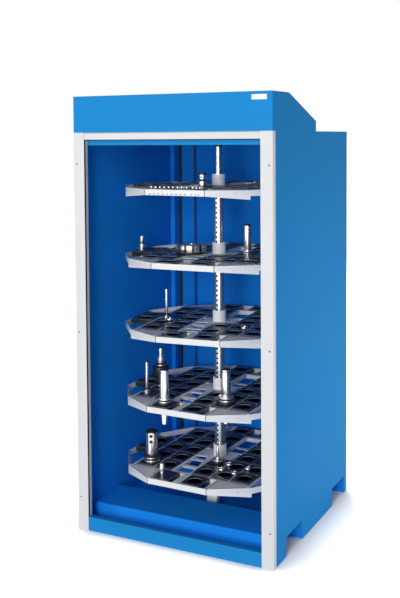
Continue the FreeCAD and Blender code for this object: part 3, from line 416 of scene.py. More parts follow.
class FinishNodes:
    """Wires the nodes of one finish."""

    def __init__(self, name, colour, roughness, metallic=0.0, specular=0.5):
        self.material = bpy.data.materials.new(name)
        self.material.use_nodes = True
        self.tree = self.material.node_tree
        self.link = self.tree.links.new
        self.shader = self.tree.nodes["Principled BSDF"]
        self.set("Base Color", (*colour, 1.0))
        self.set("Roughness", roughness)
        self.set("Metallic", metallic)
        self.set("Specular IOR Level", specular)
        self.place = self.tree.nodes.new("ShaderNodeTexCoord").outputs["Object"]

    def set(self, socket, value):
        self.shader.inputs[socket].default_value = value

    def noise(self, scale, detail, stretch):
        mapping = self.tree.nodes.new("ShaderNodeMapping")
        mapping.inputs["Scale"].default_value = stretch
        pattern = self.tree.nodes.new("ShaderNodeTexNoise")
        pattern.inputs["Scale"].default_value = scale
        pattern.inputs["Detail"].default_value = detail
        self.link(self.place, mapping.inputs["Vector"])
        self.link(mapping.outputs["Vector"], pattern.inputs["Vector"])
        return pattern.outputs["Fac"]

    def spread(self, pattern, low, high):
        """A noise pattern's middle greys, spread between two numbers."""
        return map_range(self.tree, pattern, (0.3, 0.7), (low, high))

    def vary_roughness(self, low, high, scale, stretch=(1, 1, 1)):
        pattern = self.spread(self.noise(scale, 3.0, stretch), low, high)
        self.link(pattern, self.shader.inputs["Roughness"])

    def mix_colours(self, share):
        """A mix that feeds the base colour, ready for its colours A and B."""
        mix = self.tree.nodes.new("ShaderNodeMix")
        mix.data_type = "RGBA"
        self.link(share, mix.inputs["Factor"])
        return mix

    def vary_colour(self, colour, low, high, scale, stretch=(1, 1, 1)):
        """Clouds of the colour's shades from low to high."""
        mix = self.mix_colours(self.spread(self.noise(scale, 4.0, stretch), 0.0, 1.0))
        mix.inputs["A"].default_value = (*shade(colour, low), 1.0)
        mix.inputs["B"].default_value = (*shade(colour, high), 1.0)
        self.link(mix.outputs["Result"], self.shader.inputs["Base Color"])

    def recolour(self, colour, share):
        """Puts another colour where the share is 1."""
        mix = self.mix_colours(share)
        base = self.shader.inputs["Base Color"]
        self.link(base.links[0].from_socket, mix.inputs["A"])
        mix.inputs["B"].default_value = (*colour, 1.0)
        self.link(mix.outputs["Result"], base)

    def axes(self):
        node = self.tree.nodes.new("ShaderNodeSeparateXYZ")
        self.link(self.place, node.inputs["Vector"])
        return [node.outputs[axis] for axis in "XYZ"]

    def inside_box(self, half_width, front, back, top):
        """1 on the faces that lie in a box about the middle of the cabinet, 0 elsewhere."""
        x, y, z = self.axes()
        share = calculate(self.tree, "LESS_THAN", calculate(self.tree, "ABSOLUTE", x), half_width)
        for test, axis, limit in (
            ("LESS_THAN", y, back), ("GREATER_THAN", y, front), ("LESS_THAN", z, top),
        ):
            share = calculate(self.tree, "MULTIPLY", share, calculate(self.tree, test, axis, limit))
        return share

    def inside_tube(self, middle, radius):
        """1 inside an upright tube and in the walls of its holes, 0 on its skin."""
        x, y, _ = self.axes()
        y = calculate(self.tree, "SUBTRACT", y, middle)
        squares = [calculate(self.tree, "MULTIPLY", side, side) for side in (x, y)]
        return calculate(self.tree, "LESS_THAN", calculate(self.tree, "ADD", *squares), radius ** 2)

    def bump(self, scale, strength, depth, detail=2.0, stretch=(1, 1, 1)):
        node = self.tree.nodes.new("ShaderNodeBump")
        node.inputs["Strength"].default_value = strength
        node.inputs["Distance"].default_value = depth
        self.link(self.noise(scale, detail, stretch), node.inputs["Height"])
        self.link(node.outputs["Normal"], self.shader.inputs["Normal"])


def shade(colour, factor):
    return tuple(min(1.0, part * factor) for part in colour)


def powder_coat(name, colour, roughness, specular=0.3):
    """Satin paint with a fine orange-peel grain."""
    finish = FinishNodes(name, colour, roughness, specular=specular)
    finish.vary_colour(colour, low=0.985, high=1.015, scale=0.8)
    finish.vary_roughness(low=roughness - 0.02, high=roughness + 0.03, scale=5.0)
    finish.bump(scale=650.0, strength=0.08, depth=0.3 * MM, detail=3.0)
    return finish


def turned_metal(name, colour, roughness, stretch=(1, 1, 1), metallic=1.0, lines=900.0):
    """Metal with the fine lines of its machining."""
    finish = FinishNodes(name, colour, roughness, metallic)
    finish.vary_colour(colour, low=0.90, high=1.08, scale=22.0, stretch=stretch)
    finish.vary_roughness(
        low=roughness * 0.75, high=roughness * 1.35, scale=60.0, stretch=stretch
    )
    finish.bump(scale=lines, strength=0.12, depth=0.2 * MM, stretch=stretch)
    return finish


def moulded_plastic(name, colour, roughness):
    """Plastic or rubber with the grain of its mould."""
    finish = FinishNodes(name, colour, roughness)
    finish.vary_colour(colour, low=0.85, high=1.2, scale=12.0)
    finish.vary_roughness(low=roughness - 0.06, high=roughness + 0.08, scale=30.0)
    finish.bump(scale=900.0, strength=0.22, depth=0.3 * MM, detail=3.0)


class CABINET_OT_finishes(bpy.types.Operator):
    """Make the finishes of all pieces"""
    bl_idname = "cabinet.finishes"
    bl_label = "Finishes"

    def execute(self, context):
        colours = context.scene.cabinet_colours
        body = powder_coat(BLUE, colours.blue, 0.42, specular=0.01)
        # painted shade: the deeper inner blue on the faces inside the cabinet's opening
        body.recolour(colours.inside, body.inside_box(*INNER_SHADE_BOX))
        rails = powder_coat(RAIL_GREY, colours.rail, 0.36)
        # painted shade: near black on the faces of the rails' slots
        rails.recolour(SLOT_SHADE, rails.inside_box(*SLOT_SHADE_BOX))
        powder_coat(FRAME_GREY, colours.frame, 0.42)
        powder_coat(SLAT_GREY, colours.slat, 0.42)
        powder_coat(PLATE_WHITE, (0.82, 0.84, 0.86), 0.30)
        around, along, across = (0.04, 0.04, 1.0), (1.0, 1.0, 0.04), (0.03, 1.0, 1.0)
        tube = turned_metal(TUBE_METAL, (0.60, 0.66, 0.70), 0.24, along, metallic=0.88)
        # painted shade: near black inside the column and on the walls of its holes
        tube.recolour(HOLE_SHADE, tube.inside_tube(COLUMN_Y, COLUMN_SKIN))
        turned_metal(JOURNAL_METAL, (0.64, 0.68, 0.72), 0.26, along, metallic=0.85)
        turned_metal(HUB_METAL, (0.82, 0.83, 0.85), 0.34, around, metallic=0.0)
        turned_metal(STEEL, (0.74, 0.74, 0.74), 0.22, around, metallic=0.92)
        turned_metal(BLACK_STEEL, (0.045, 0.045, 0.050), 0.34, around, metallic=0.6)
        turned_metal(BRONZE, (0.60, 0.42, 0.22), 0.38, around)
        turned_metal(END_RAIL_METAL, (0.62, 0.635, 0.64), 0.42, across, metallic=0.05)
        turned_metal(ZINC, (0.66, 0.68, 0.70), 0.34, lines=300.0)
        turned_metal(DARK_SCREW, (0.10, 0.10, 0.11), 0.36, metallic=0.7)
        turned_metal(SCREW_STEEL, (0.58, 0.59, 0.60), 0.30)
        moulded_plastic(CASSETTE_BLACK, colours.cassette, 0.30)
        # partly wear, partly painted highlight on the cassettes' edges
        moulded_plastic(WORN_HIGHLIT_EDGE, (0.17, 0.20, 0.24), 0.30)
        # painted shade in holes, slits and grooves, and the dark colour of joints
        moulded_plastic(JOINT_BLACK_AND_BORE_SHADE, (0.004, 0.004, 0.005), 0.60)
        moulded_plastic(BEARING_BLACK, (0.018, 0.018, 0.020), 0.45)
        moulded_plastic(RUBBER, (0.020, 0.020, 0.021), 0.70)
        return {"FINISHED"}


def paint_node(node, finish):
    """Gives a CAD node a finish in every slot it has."""
    materials = NODES[node].data.materials
    if not materials:
        materials.append(bpy.data.materials[finish])
    for index in range(len(materials)):
        materials[index] = bpy.data.materials[finish]


# ---- cabinet ----
class CABINET_OT_sheet_metal(bpy.types.Operator):
    """Finish the cabinet's blue sheets, with rounded folds on those that show"""
    bl_idname = "cabinet.sheet_metal"
    bl_label = "Sheet metal"

    def execute(self, context):
        sizes = context.scene.cabinet_sheets
        for node in (
            "side_panel_left", "side_panel_right", "back_wall_middle", "back_wall_side_left",
            "back_wall_side_right", "corner_post_left", "corner_post_right", "lintel",
            "fork_tunnel_front", "fork_tunnel_rear", "front_sill", "top_beam", "head_cover",
            "head_end_left", "head_end_right", "top_panel",
        ):
            bent_copy(node, BLUE, sizes)
        for node in ("back_skirt", "seam_straps", "floor_plates"):
            paint_node(node, BLUE)
        wall_gap_shade()
        return {"FINISHED"}


# the socket finish is painted shade: a near-black disc on each screw head
HEAD, SOCKET = range(2)             # finishes of a rail screw, as slots of its piece


def rail_screw_heads(sizes):
    """Three round heads with a dark socket on each rail, where the solid screws stand."""
    low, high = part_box("rail_screws")
    radius = sizes.screw / 2
    bm = bmesh.new()
    edge = radius / MM
    head = turned([(0, 0), (edge, 0), (edge, 0.9), (edge - 1.2, 1.8), (0, 1.8)], 24, HEAD, 0.0)
    wall = edge * 0.55
    socket = turned([(0, 1), (wall, 1), (wall, 1.9), (0, 1.9)], 6, SOCKET, 0.0)
    face_front = Matrix.Rotation(math.pi / 2, 4, "X")
    for side in (-1, 1):
        x = side * (high.x - radius)
        for z in (low.z + radius, (low.z + high.z) / 2, high.z - radius):
            place = Matrix.Translation((x, low.y + 1.5 * MM, z)) @ face_front
            stamp(bm, head, place)
            stamp(bm, socket, place)
    make_piece(
        "rail_screw_heads", bm, "cabinet", [DARK_SCREW, JOINT_BLACK_AND_BORE_SHADE],
        stands_for=["rail_screws"],
    )


def wall_gap_shade():
    """Painted shade: black strips in the joints of the back wall and beside each corner post, where
    the gaps lie in shade.
    """
    low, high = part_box("back_wall_middle")
    joint = high.x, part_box("back_wall_side_right")[0].x
    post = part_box("corner_post_right")[0].x
    strip, lap, proud, sunk = 12 * MM, 0.5 * MM, 1 * MM, 4 * MM
    bm = bmesh.new()
    for side in (1, -1):
        for near, far in (joint, (post - strip, post)):
            near, far = sorted((side * (near - lap), side * (far + lap)))
            block(
                bm, (near, low.y - proud, low.z + 2 * MM), (far, low.y + sunk, high.z - 4 * MM)
            )
    # painted shade: the strips take the black rubber finish
    make_piece("wall_gap_shade", bm, "cabinet", [RUBBER])


class CABINET_OT_guide_rails(bpy.types.Operator):
    """Finish the guide rails, their screws and the bare plate"""
    bl_idname = "cabinet.guide_rails"
    bl_label = "Guide rails"

    def execute(self, context):
        sizes = context.scene.cabinet_sheets
        for side in ("left", "right"):
            bent_copy(f"guide_rail_{side}", RAIL_GREY, sizes)
        rail_screw_heads(sizes)
        paint_node("bare_plate", PLATE_WHITE)
        return {"FINISHED"}


class CABINET_OT_column(bpy.types.Operator):
    """Finish the column with its foot, journal, bearing, collars and pins"""
    bl_idname = "cabinet.column"
    bl_label = "Column"

    def execute(self, context):
        for node, finish in (
            ("column", TUBE_METAL), ("column_journal", JOURNAL_METAL), ("column_foot", FRAME_GREY),
            ("foot_bolts", ZINC), ("support_collars", ZINC), ("collar_pins", ZINC),
            ("top_bearing", BEARING_BLACK), ("thrust_washers", BRONZE),
        ):
            paint_node(node, finish)
        return {"FINISHED"}


def share_at(height, top, shown, travel):
    """Share of the curtain above the point that hangs at this height when the shutter is closed."""
    low, high = 0.0, 1.0
    for _ in range(40):             # halvings, far finer than a slat
        share = (low + high) / 2
        moved = share * share * (3 - 2 * share)
        if top - shown * share - travel * moved > height:
            low = share
        else:
            high = share
    return share


def slatted_curtain(sizes):
    """The curtain's slats, spaced as they lie when the shutter is open."""
    low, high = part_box("flat_curtain")
    shown = high.z - low.z
    stations = 0.0, 0.05, 0.2, 0.5, 0.8, 0.95       # down a slat, from joint to joint
    depths = 0.60, 0.92, 0.98, 1.0, 0.98, 0.92      # of the slat's front at each station
    steps = len(stations)
    rows = sizes.slats * steps
    bm = bmesh.new()
    bmesh.ops.create_grid(bm, x_segments=1, y_segments=rows, size=0.5)
    closed = shown + sizes.travel
    for vert in bm.verts:
        slat, station = divmod(round((0.5 - vert.co.y) * rows), steps)
        share = (slat + stations[station]) / sizes.slats
        rest = share_at(high.z - share * closed, high.z, shown, sizes.travel)
        front = high.y - sizes.slat_depth * depths[station]
        vert.co = Vector((vert.co.x * (high.x - low.x), front, high.z - rest * shown))
    back = bmesh.ops.extrude_face_region(bm, geom=bm.faces[:])["geom"]
    back = [part for part in back if isinstance(part, bmesh.types.BMVert)]
    bmesh.ops.translate(bm, vec=(0, sizes.slat_depth * 0.5, 0), verts=back)
    bmesh.ops.recalc_face_normals(bm, faces=bm.faces)
    piece = make_piece(
        "slatted_curtain", bm, None, [SLAT_GREY], stands_for=["flat_curtain"],
        smooth=50,
    )
    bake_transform(piece)


class CABINET_OT_shutter(bpy.types.Operator):
    """Build the slatted curtain and finish the end rail and the roller"""
    bl_idname = "cabinet.shutter"
    bl_label = "Roller shutter"

    def execute(self, context):
        bent_copy("end_rail", END_RAIL_METAL, context.scene.cabinet_sheets)
        for node, finish in (
            ("end_rail_seal", RUBBER), ("rolled_curtain", SLAT_GREY), ("roller_tube", ZINC),
            ("counter_spring", ZINC), ("roller_plugs", BEARING_BLACK), ("roller_brackets", ZINC),
        ):
            paint_node(node, finish)
        slatted_curtain(context.scene.cabinet_shutter)
        return {"FINISHED"}


def long_face(sizes):
    """Middle of a level to one of its four long edges."""
    return math.sqrt(sizes.corner_reach ** 2 - (sizes.long_edge / 2) ** 2)


def square_edge(sizes):
    """Middle of a level to the outside of its square frame."""
    cells = bpy.context.scene.cabinet_cassettes
    return CELL_COLUMNS / 2 * cells.cell_width + cells.gap + sizes.square_wall


PLATE, DARK_LINE, GREY_LINE = range(3)      # finishes of a rim's fittings, as slots of their piece


def along(start, end):
    """The frame that starts at one point with its X towards another, and their distance."""
    run = Vector(end) - Vector(start)
    turn = Matrix.Rotation(math.atan2(run.y, run.x), 4, "Z")
    return Matrix.Translation((*start, 0)) @ turn, run.length


def corner_fittings(sizes):
    """Joint, grooves, slot and rivets of the corner plate at the right of the front edge."""
    bm = bmesh.new()
    half, front = sizes.long_edge / 2, long_face(sizes)
    diagonal = sizes.corner_reach / math.sqrt(2)
    height, proud, sunk, line = sizes.rim_height, 0.3 * MM, 1 * MM, 2.6 * MM
    joint = flat_mark((-line, -proud, -height), (0.4 * MM, sunk, 0), DARK_LINE)
    stamp(bm, joint, Matrix.Translation((half, -front, 0)))
    place, reach = along((half, -front), (diagonal, -diagonal))
    # painted shade: the slot is a grey mark in the rim's face
    slot = flat_mark((0, -proud, -height * 0.78), (4 * MM, sunk, -height * 0.25), GREY_LINE)
    stamp(bm, slot, place @ Matrix.Translation((reach * 0.68, 0, 0)))
    back, edge = -square_edge(sizes), 2 * MM
    # painted shade: the grooves are near-black lines along the edges of the plate
    for near, far in (
        ((half, -front), (half, back)), ((half, back), (diagonal - edge, back)),
        ((half, edge - front), (diagonal - edge, edge - diagonal)),
    ):
        place, reach = along(near, far)
        stamp(bm, flat_mark((0, -line / 2, -sunk), (reach, line / 2, proud), DARK_LINE), place)
    rivet = sizes.rivet / MM / 2
    dome = [(0, 0), (rivet, 0), (rivet * 0.8, rivet * 0.4), (0, rivet * 0.6)]
    head = turned(dome, 14, PLATE, 0.0)
    for x, y in (
        (half + sizes.rivet, 2.2 * sizes.rivet - front), (diagonal - 2 * sizes.rivet, -diagonal),
    ):
        stamp(bm, head, Matrix.Translation((x, y, 0)))
    return template(bm)


def rim_fittings(level, sizes):
    """The small fittings of a level's rim, with a row of marks on the front of the top one."""
    corner = corner_fittings(sizes)
    place = level_place(level)
    bm = bmesh.new()
    for x_side in (1, -1):
        for y_side in (1, -1):
            stamp(bm, corner, place @ Matrix.Diagonal((x_side, y_side, 1, 1)))
    bmesh.ops.recalc_face_normals(bm, faces=bm.faces)
    if level == LEVELS[-1]:
        # painted shade: a row of near-black dashes along the front of the top rim, one below each
        # collet
        half, low, high = 4.5 * MM, -sizes.rim_height * 0.82, -sizes.rim_height * 0.7
        dash = flat_mark((-half, -0.2 * MM, low), (half, 1 * MM, high), DARK_LINE)
        for x, _ in COLLET_ROW:
            stamp(bm, dash, place @ Matrix.Translation((x * MM, -long_face(sizes), 0)))
    body = LEVEL_NAMES[level]
    finishes = [FRAME_GREY, JOINT_BLACK_AND_BORE_SHADE, SLAT_GREY]
    make_piece(body + "_rim_fittings", bm, body, finishes)


class CABINET_OT_level_frames(bpy.types.Operator):
    """Finish the levels' frames and hubs"""
    bl_idname = "cabinet.level_frames"
    bl_label = "Level frames"

    def execute(self, context):
        sheets, sizes = context.scene.cabinet_sheets, context.scene.cabinet_levels
        for level in LEVELS:
            bent_copy(LEVEL_NAMES[level] + "_frame", FRAME_GREY, sheets)
            paint_node(LEVEL_NAMES[level] + "_hub", HUB_METAL)
            rim_fittings(level, sizes)
        return {"FINISHED"}


def cassette_cells(sizes, levels):
    """Middle, width and length of each cassette: a grid, and two more on each side of it."""
    width = sizes.cell_width - WEB - sizes.gap
    length = sizes.cell_length - sizes.gap
    cells = []
    for column in range(CELL_COLUMNS):
        x = (column + 0.5 - CELL_COLUMNS / 2) * sizes.cell_width
        for row in range(CELL_ROWS):
            y = (row + 0.5 - CELL_ROWS / 2) * sizes.cell_length
            beside_hub = abs(x) < sizes.cell_width
            at_hub = beside_hub and abs(y) < sizes.cell_length / 2
            open_channel = beside_hub and x * y > 0
            if not at_hub and not open_channel:
                cells.append((x, y, width, length))
    square = square_edge(levels)
    wing = long_face(levels) - levels.rim_wall - square
    middle = square + wing / 2
    wing -= sizes.gap
    outer = levels.long_edge / 2 - levels.square_wall - width / 2
    for side in (-1, 1):
        cells.append((-side * sizes.wing_place, side * middle, width, wing))
        cells.append((side * outer, side * middle, width, wing))
        for half in (-1, 1):
            cells.append((side * middle, half * sizes.cell_width / 2, wing, width))
    return cells


# the pocket finish is painted shade: near black on each pocket's walls
MOULDED, SCREW, WORN_HIGHLIT, POCKET = range(4)     # finishes of a cassette, as slots of its piece


def cassette_block(bm, width, length, sizes, pocket, offset):
    """One cassette about the origin: block, chamfered top, and a pocket with a sunk ring."""
    top = sizes.rise
    bottom = sizes.rise - sizes.height
    edge = sizes.chamfer
    ledge = top - sizes.step_depth
    rim = pocket + sizes.step
    rings = [
        rounded_loop(bm, width - 2 * edge, length - 2 * edge, sizes.corner - edge, top),
        rounded_loop(bm, width, length, sizes.corner, top - edge),
        rounded_loop(bm, width, length, sizes.corner, bottom),
        circle_loop(bm, pocket, bottom, offset),
        circle_loop(bm, pocket, ledge - edge, offset),
        circle_loop(bm, pocket + edge, ledge, offset),
        circle_loop(bm, rim, ledge, offset),
        circle_loop(bm, rim, top, offset),
    ]
    # the top chamfer and the step round the pocket get the lighter edge finish, partly wear and
    # partly painted highlight
    bridge(bm, rings, (WORN_HIGHLIT, MOULDED, MOULDED, POCKET, POCKET, MOULDED, WORN_HIGHLIT, MOULDED))


def cassette_fittings(bm, width, length, sizes, pocket):
    """Raised pads in two corners with a screw in each, and a label slot at the front."""
    top = sizes.rise
    pad, half, foot, height = 9 * MM, 5.4 * MM, top - 1 * MM, top + 1.6 * MM
    screw = turned([(0, 0), (3.1, 0), (3.1, 1.2), (2.2, 2.0), (0, 2.0)], 12, SCREW, 0.0)
    for side in (-1, 1):
        x = side * (width / 2 - pad)
        y = side * (length / 2 - pad)
        made = block(bm, (x - half, y - half, foot), (x + half, y + half, height))
        soften(bm, edges_of(made), 0.8 * MM, segments=1)
        stamp(bm, screw, Matrix.Translation((x, y, height)))
    if length / 2 - pocket > 3 * pad:
        lip = block(
            bm, (-width * 0.30, -length / 2 + 4 * MM, foot),
            (width * 0.16, -length / 2 + 8 * MM, top + 1.2 * MM),
        )
        soften(bm, edges_of(lip), 0.5 * MM, segments=1)


def cassette_template(width, length, sizes, pocket, offset=(0.0, 0.0)):
    bm = bmesh.new()
    cassette_block(bm, width, length, sizes, pocket, offset)
    bmesh.ops.recalc_face_normals(bm, faces=bm.faces)
    cassette_fittings(bm, width, length, sizes, pocket)
    return template(bm)


def seat_in_cell(cell, level):
    """Place and radius of a tool's own pocket in this cell, or None for the standard pocket."""
    x, y, width, length = cell
    for _, radius, place in LEVEL_TOOLS[level]:
        seat = (place[0] * MM - x, place[1] * MM - y)
        if radius and abs(seat[0]) < width / 2 and abs(seat[1]) < length / 2:
            return seat, radius * MM
    return None, 0.0


class CABINET_OT_cassettes(bpy.types.Operator):
    """Build the cassettes of every level"""
    bl_idname = "cabinet.cassettes"
    bl_label = "Cassettes"

    def execute(self, context):
        sizes = context.scene.cabinet_cassettes
        cells = cassette_cells(sizes, context.scene.cabinet_levels)
        plain = {
            cell[2:]: cassette_template(*cell[2:], sizes, sizes.pocket / 2) for cell in cells
        }
        for level in LEVELS:
            bm = bmesh.new()
            for cell in cells:
                seat, radius = seat_in_cell(cell, level)
                pattern = plain[cell[2:]]
                if seat:
                    pattern = cassette_template(*cell[2:], sizes, radius, seat)
                stamp(bm, pattern, level_place(level) @ Matrix.Translation((*cell[:2], 0)))
            body = LEVEL_NAMES[level]
            make_piece(
                body + "_cassette_set", bm, body,
                [CASSETTE_BLACK, SCREW_STEEL, WORN_HIGHLIT_EDGE, JOINT_BLACK_AND_BORE_SHADE],
                stands_for=[body + "_cassettes"],
            )
        return {"FINISHED"}


# the bore finish is painted shade: near black in bores, slits and the tapers' lower ends
BRIGHT, DARK, BORE = range(3)       # finishes of a tool, as slots of its piece
TAPER_SEAT = 22.7                   # pocket radius round a taper, mm


def turned_parts(bm, parts, steps=40):
    """A tool from a row of turned parts; each has a finish and a profile in millimetres."""
    for finish, profile in parts:
        stamp(bm, turned(profile, steps, finish))


def band(radius, low, high, chamfer=0.8):
    """Profile of a plain band with chamfered edges."""
    return [
        (0, low), (radius - chamfer, low), (radius, low + chamfer),
        (radius, high - chamfer), (radius - chamfer, high), (0, high),
    ]


def taper_parts():
    """The taper that hangs in a pocket, with a near-black disc painted at its lower end as the
    shade of its bore.
    """
    return [
        (BRIGHT, [(0, -100), (11, -100), (14, -97), (22.2, 0), (0, 0)]),
        (BORE, band(7, -100.2, -99, 0.1)),
    ]


def flange_parts(radius, low, high):
    """A flange with a dark gripping groove between two bright bands."""
    third = (high - low) / 3
    return [
        (BRIGHT, band(radius, low, low + third)),
        (DARK, band(radius - 4, low + third, high - third, 0.2)),
        (BRIGHT, band(radius, high - third, high)),
    ]


def side_bore(bm, radius, reach, height, azimuth):
    """A near-black socket in the side of a tool's body, painted shade of a bore."""
    turn = Matrix.Rotation(math.radians(azimuth), 4, "Z") @ Matrix.Translation(
        (reach * MM, 0, height * MM)
    ) @ Matrix.Rotation(math.pi / 2, 4, "Y")
    depth = 0.6 + reach - math.sqrt(reach ** 2 - min(radius, reach) ** 2)
    stamp(bm, turned(band(radius, -depth, 0.3, 0.1), 24, BORE, 0.0), turn)


def side_slit(bm, reach, low, high, width, azimuth):
    """A near-black upright line in the side of a tool's body, painted shade of a slit."""
    near = Vector((reach - 1, -width / 2, low)) * MM
    far = Vector((reach + 0.2, width / 2, high)) * MM
    stamp(bm, flat_mark(near, far, BORE), Matrix.Rotation(math.radians(azimuth), 4, "Z"))


def large_holder(bm):
    turned_parts(bm, taper_parts() + [
        (DARK, band(48, 0, 6)),
        (BRIGHT, band(42, 6, 14)),
        (DARK, band(38, 14, 22, 0.2)),
        (BRIGHT, band(42, 22, 29)),
        (DARK, [(0, 29), (45, 29), (45, 36), (38, 41), (0, 41)]),
        (BRIGHT, band(30.5, 41, 152, 1.2)),
        (DARK, [(0, 151), (31.5, 151), (31.5, 157), (20, 163), (4, 168), (0, 168)]),
    ], 56)
    for height in (137, 108):
        side_bore(bm, 9.0, 30.5, height, -66)
    side_slit(bm, 30.5, 44, 96, 2.2, -62)


def boring_bar(bm):
    turned_parts(bm, taper_parts() + flange_parts(31, 10, 30) + [
        (DARK, band(38, 0, 10)),
        (BRIGHT, band(21.5, 30, 167, 1.0)),
        (DARK, band(21.9, 166, 170)),
    ])
    side_bore(bm, 4.5, 21.5, 156, -110)
    side_bore(bm, 3.5, 21.5, 144, -118)
    side_slit(bm, 21.5, 40, 120, 1.4, -85)


def stepped_holder(bm):
    turned_parts(bm, taper_parts() + [
        (DARK, band(31, 0, 6)),
        (BRIGHT, band(30, 6, 12)),
        (DARK, band(31, 12, 18)),
        (DARK, band(25, 18, 68)),
        (DARK, [(0, 66), (25, 66), (43, 72), (43, 104), (34, 110), (0, 110)]),
        (BRIGHT, band(26, 109, 115)),
        (DARK, band(27, 115, 124)),
        (BRIGHT, band(20, 124, 163)),
        (DARK, band(20.4, 155, 160, 0.2)),
        (BRIGHT, band(12, 163, 199)),
        (DARK, band(12.4, 198, 204)),
    ])
    side_bore(bm, 7, 43, 88, -40)


def slim_bar(bm):
    turned_parts(bm, [
        (BRIGHT, band(10, -30, 0)),
        (BRIGHT, band(24, 0, 6)),
        (DARK, band(21, 6, 9, 0.2)),
        (BRIGHT, band(21, 9, 13)),
        (DARK, [(0, 13), (19, 13), (17, 20), (10, 22), (0, 22)]),
        (BRIGHT, band(8.6, 22, 152)),
        (DARK, [(0, 151), (9.5, 151), (9.5, 161), (5, 164), (0, 165)]),
    ])


def round_blank(bm):
    turned_parts(bm, taper_parts() + flange_parts(40, 15, 36) + [
        (DARK, band(48, 0, 15)),
        (BRIGHT, band(22.9, 36, 157, 1.0)),
        (DARK, band(22.2, 156, 158.5, 0.2)),
        (BRIGHT, band(22.9, 158, 167, 1.0)),
        (DARK, band(21.4, 166, 170)),
    ], 48)


def short_peg(bm):
    turned_parts(bm, [
        (BRIGHT, band(9.5, -20, 16)),
        (BRIGHT, [(0, 16), (11, 16), (12, 17), (12, 52), (9, 56), (0, 56)]),
    ], 32)


def spike_arbor(bm):
    turned_parts(bm, [
        (BRIGHT, band(12, -20, 0)),
        (DARK, band(28, 0, 12)),
        (BRIGHT, band(29.5, 12, 22)),
        (DARK, band(17, 22, 24, 0.2)),
        (BRIGHT, band(18, 23.5, 29)),
        (BRIGHT, [(0, 28), (10, 29), (4.8, 82), (4.2, 84), (0, 84)]),
    ])


def face_mill(bm):
    turned_parts(bm, [
        (BRIGHT, [(0, 0), (60, 0), (62, 2), (75, 16), (77, 19), (77, 46), (73, 54), (25, 54),
                (22, 51), (22, 40), (0, 40)]),
        (DARK, band(76, 3, 18, 6.0)),
        (DARK, band(20, 40, 47)),
    ], 64)
    seat = bmesh.new()
    gullet = block(seat, (66 * MM, -4 * MM, 14 * MM), (77.6 * MM, 9 * MM, 54.5 * MM))
    soften(seat, edges_of(gullet), 0.8 * MM)
    give_finish(seat.faces, DARK)
    gullet = template(seat)
    for number in range(12):
        stamp(bm, gullet, Matrix.Rotation(math.tau * number / 12, 4, "Z"))


def tall_cutter(bm):
    turned_parts(bm, taper_parts() + flange_parts(31, 0, 18) + [
        (BRIGHT, band(19, 18, 144)),
        (DARK, [(0, 144), (19, 144), (19, 149), (15, 152), (0, 152)]),
    ])


def short_clamp(bm):
    turned_parts(bm, [
        (BRIGHT, band(9, -15, 0)),
        (BRIGHT, band(17, 0, 38)),
        (DARK, band(14, 38, 44)),
        (BRIGHT, band(13, 44, 78)),
    ], 32)


def small_holder(bm):
    turned_parts(bm, [
        (DARK, band(11, -15, 0)),
        (BRIGHT, band(20.5, 0, 28, 1.0)),
        (DARK, band(15, 28, 36)),
        (BRIGHT, band(18, 35.5, 60, 1.0)),
        (DARK, [(0, 60), (22, 60), (22, 66), (12, 68), (0, 68)]),
    ], 32)
    side_bore(bm, 5.0, 18, 48, -80)
    for height in (9, 19):
        for azimuth in (-95, -60, -25):
            side_bore(bm, 2.2, 20.5, height, azimuth)


def clamp_nut(bm):
    turned_parts(bm, [
        (BRIGHT, [(0, 0), (15, 0), (17, 3), (17, 9), (15, 12), (12, 13), (8, 13), (8, 5), (0, 5)]),
    ], 24)


def collet(bm):
    turned_parts(bm, [(BRIGHT, [(0, 0), (4.5, 0), (5, 2), (5, 7), (3.5, 9), (0, 9)])], 16)


def collet_strip(bm):
    """The narrow strip that the small collets stand on, about the middle of its underside."""
    block(bm, (-145 * MM, -11 * MM, 0), (145 * MM, 11 * MM, 2 * MM))
    give_finish(bm.faces, DARK)


# shape, radius of its own pocket, and place on the level in millimetres
LEVEL_TOOLS = (
    (
        (large_holder, TAPER_SEAT, (-256.5, -258)), (short_peg, 10, (-116.5, -391.9)),
        (spike_arbor, 12.5, (52.5, -126)), (clamp_nut, 0, (119.5, -132)),
        (clamp_nut, 0, (117.5, -212)), (clamp_nut, 0, (228.5, -142)),
        (clamp_nut, 0, (197.5, -230)),
    ),
    (
        (slim_bar, 10.5, (-291.5, -244)), (boring_bar, TAPER_SEAT, (-99.5, -391.9)),
        (stepped_holder, TAPER_SEAT, (-284.5, -118)), (round_blank, TAPER_SEAT, (163.5, -250)),
    ),
    ((slim_bar, 10.5, (-284.5, -25)), (clamp_nut, 0, (-240.5, -90)), (clamp_nut, 0, (189.5, -170))),
    (
        (short_clamp, 9.5, (-409.9, -68.5)), (face_mill, 0, (-107.5, -112)),
        (tall_cutter, TAPER_SEAT, (157.5, 0)),
    ),
    ((small_holder, 11.5, (30.5, -230)),),
)
STRIP_PLACE = (0, -439.8)
COLLET_ROW = [(x, STRIP_PLACE[1]) for x in (*range(-133, 60, 24), *range(93, 132, 19))]


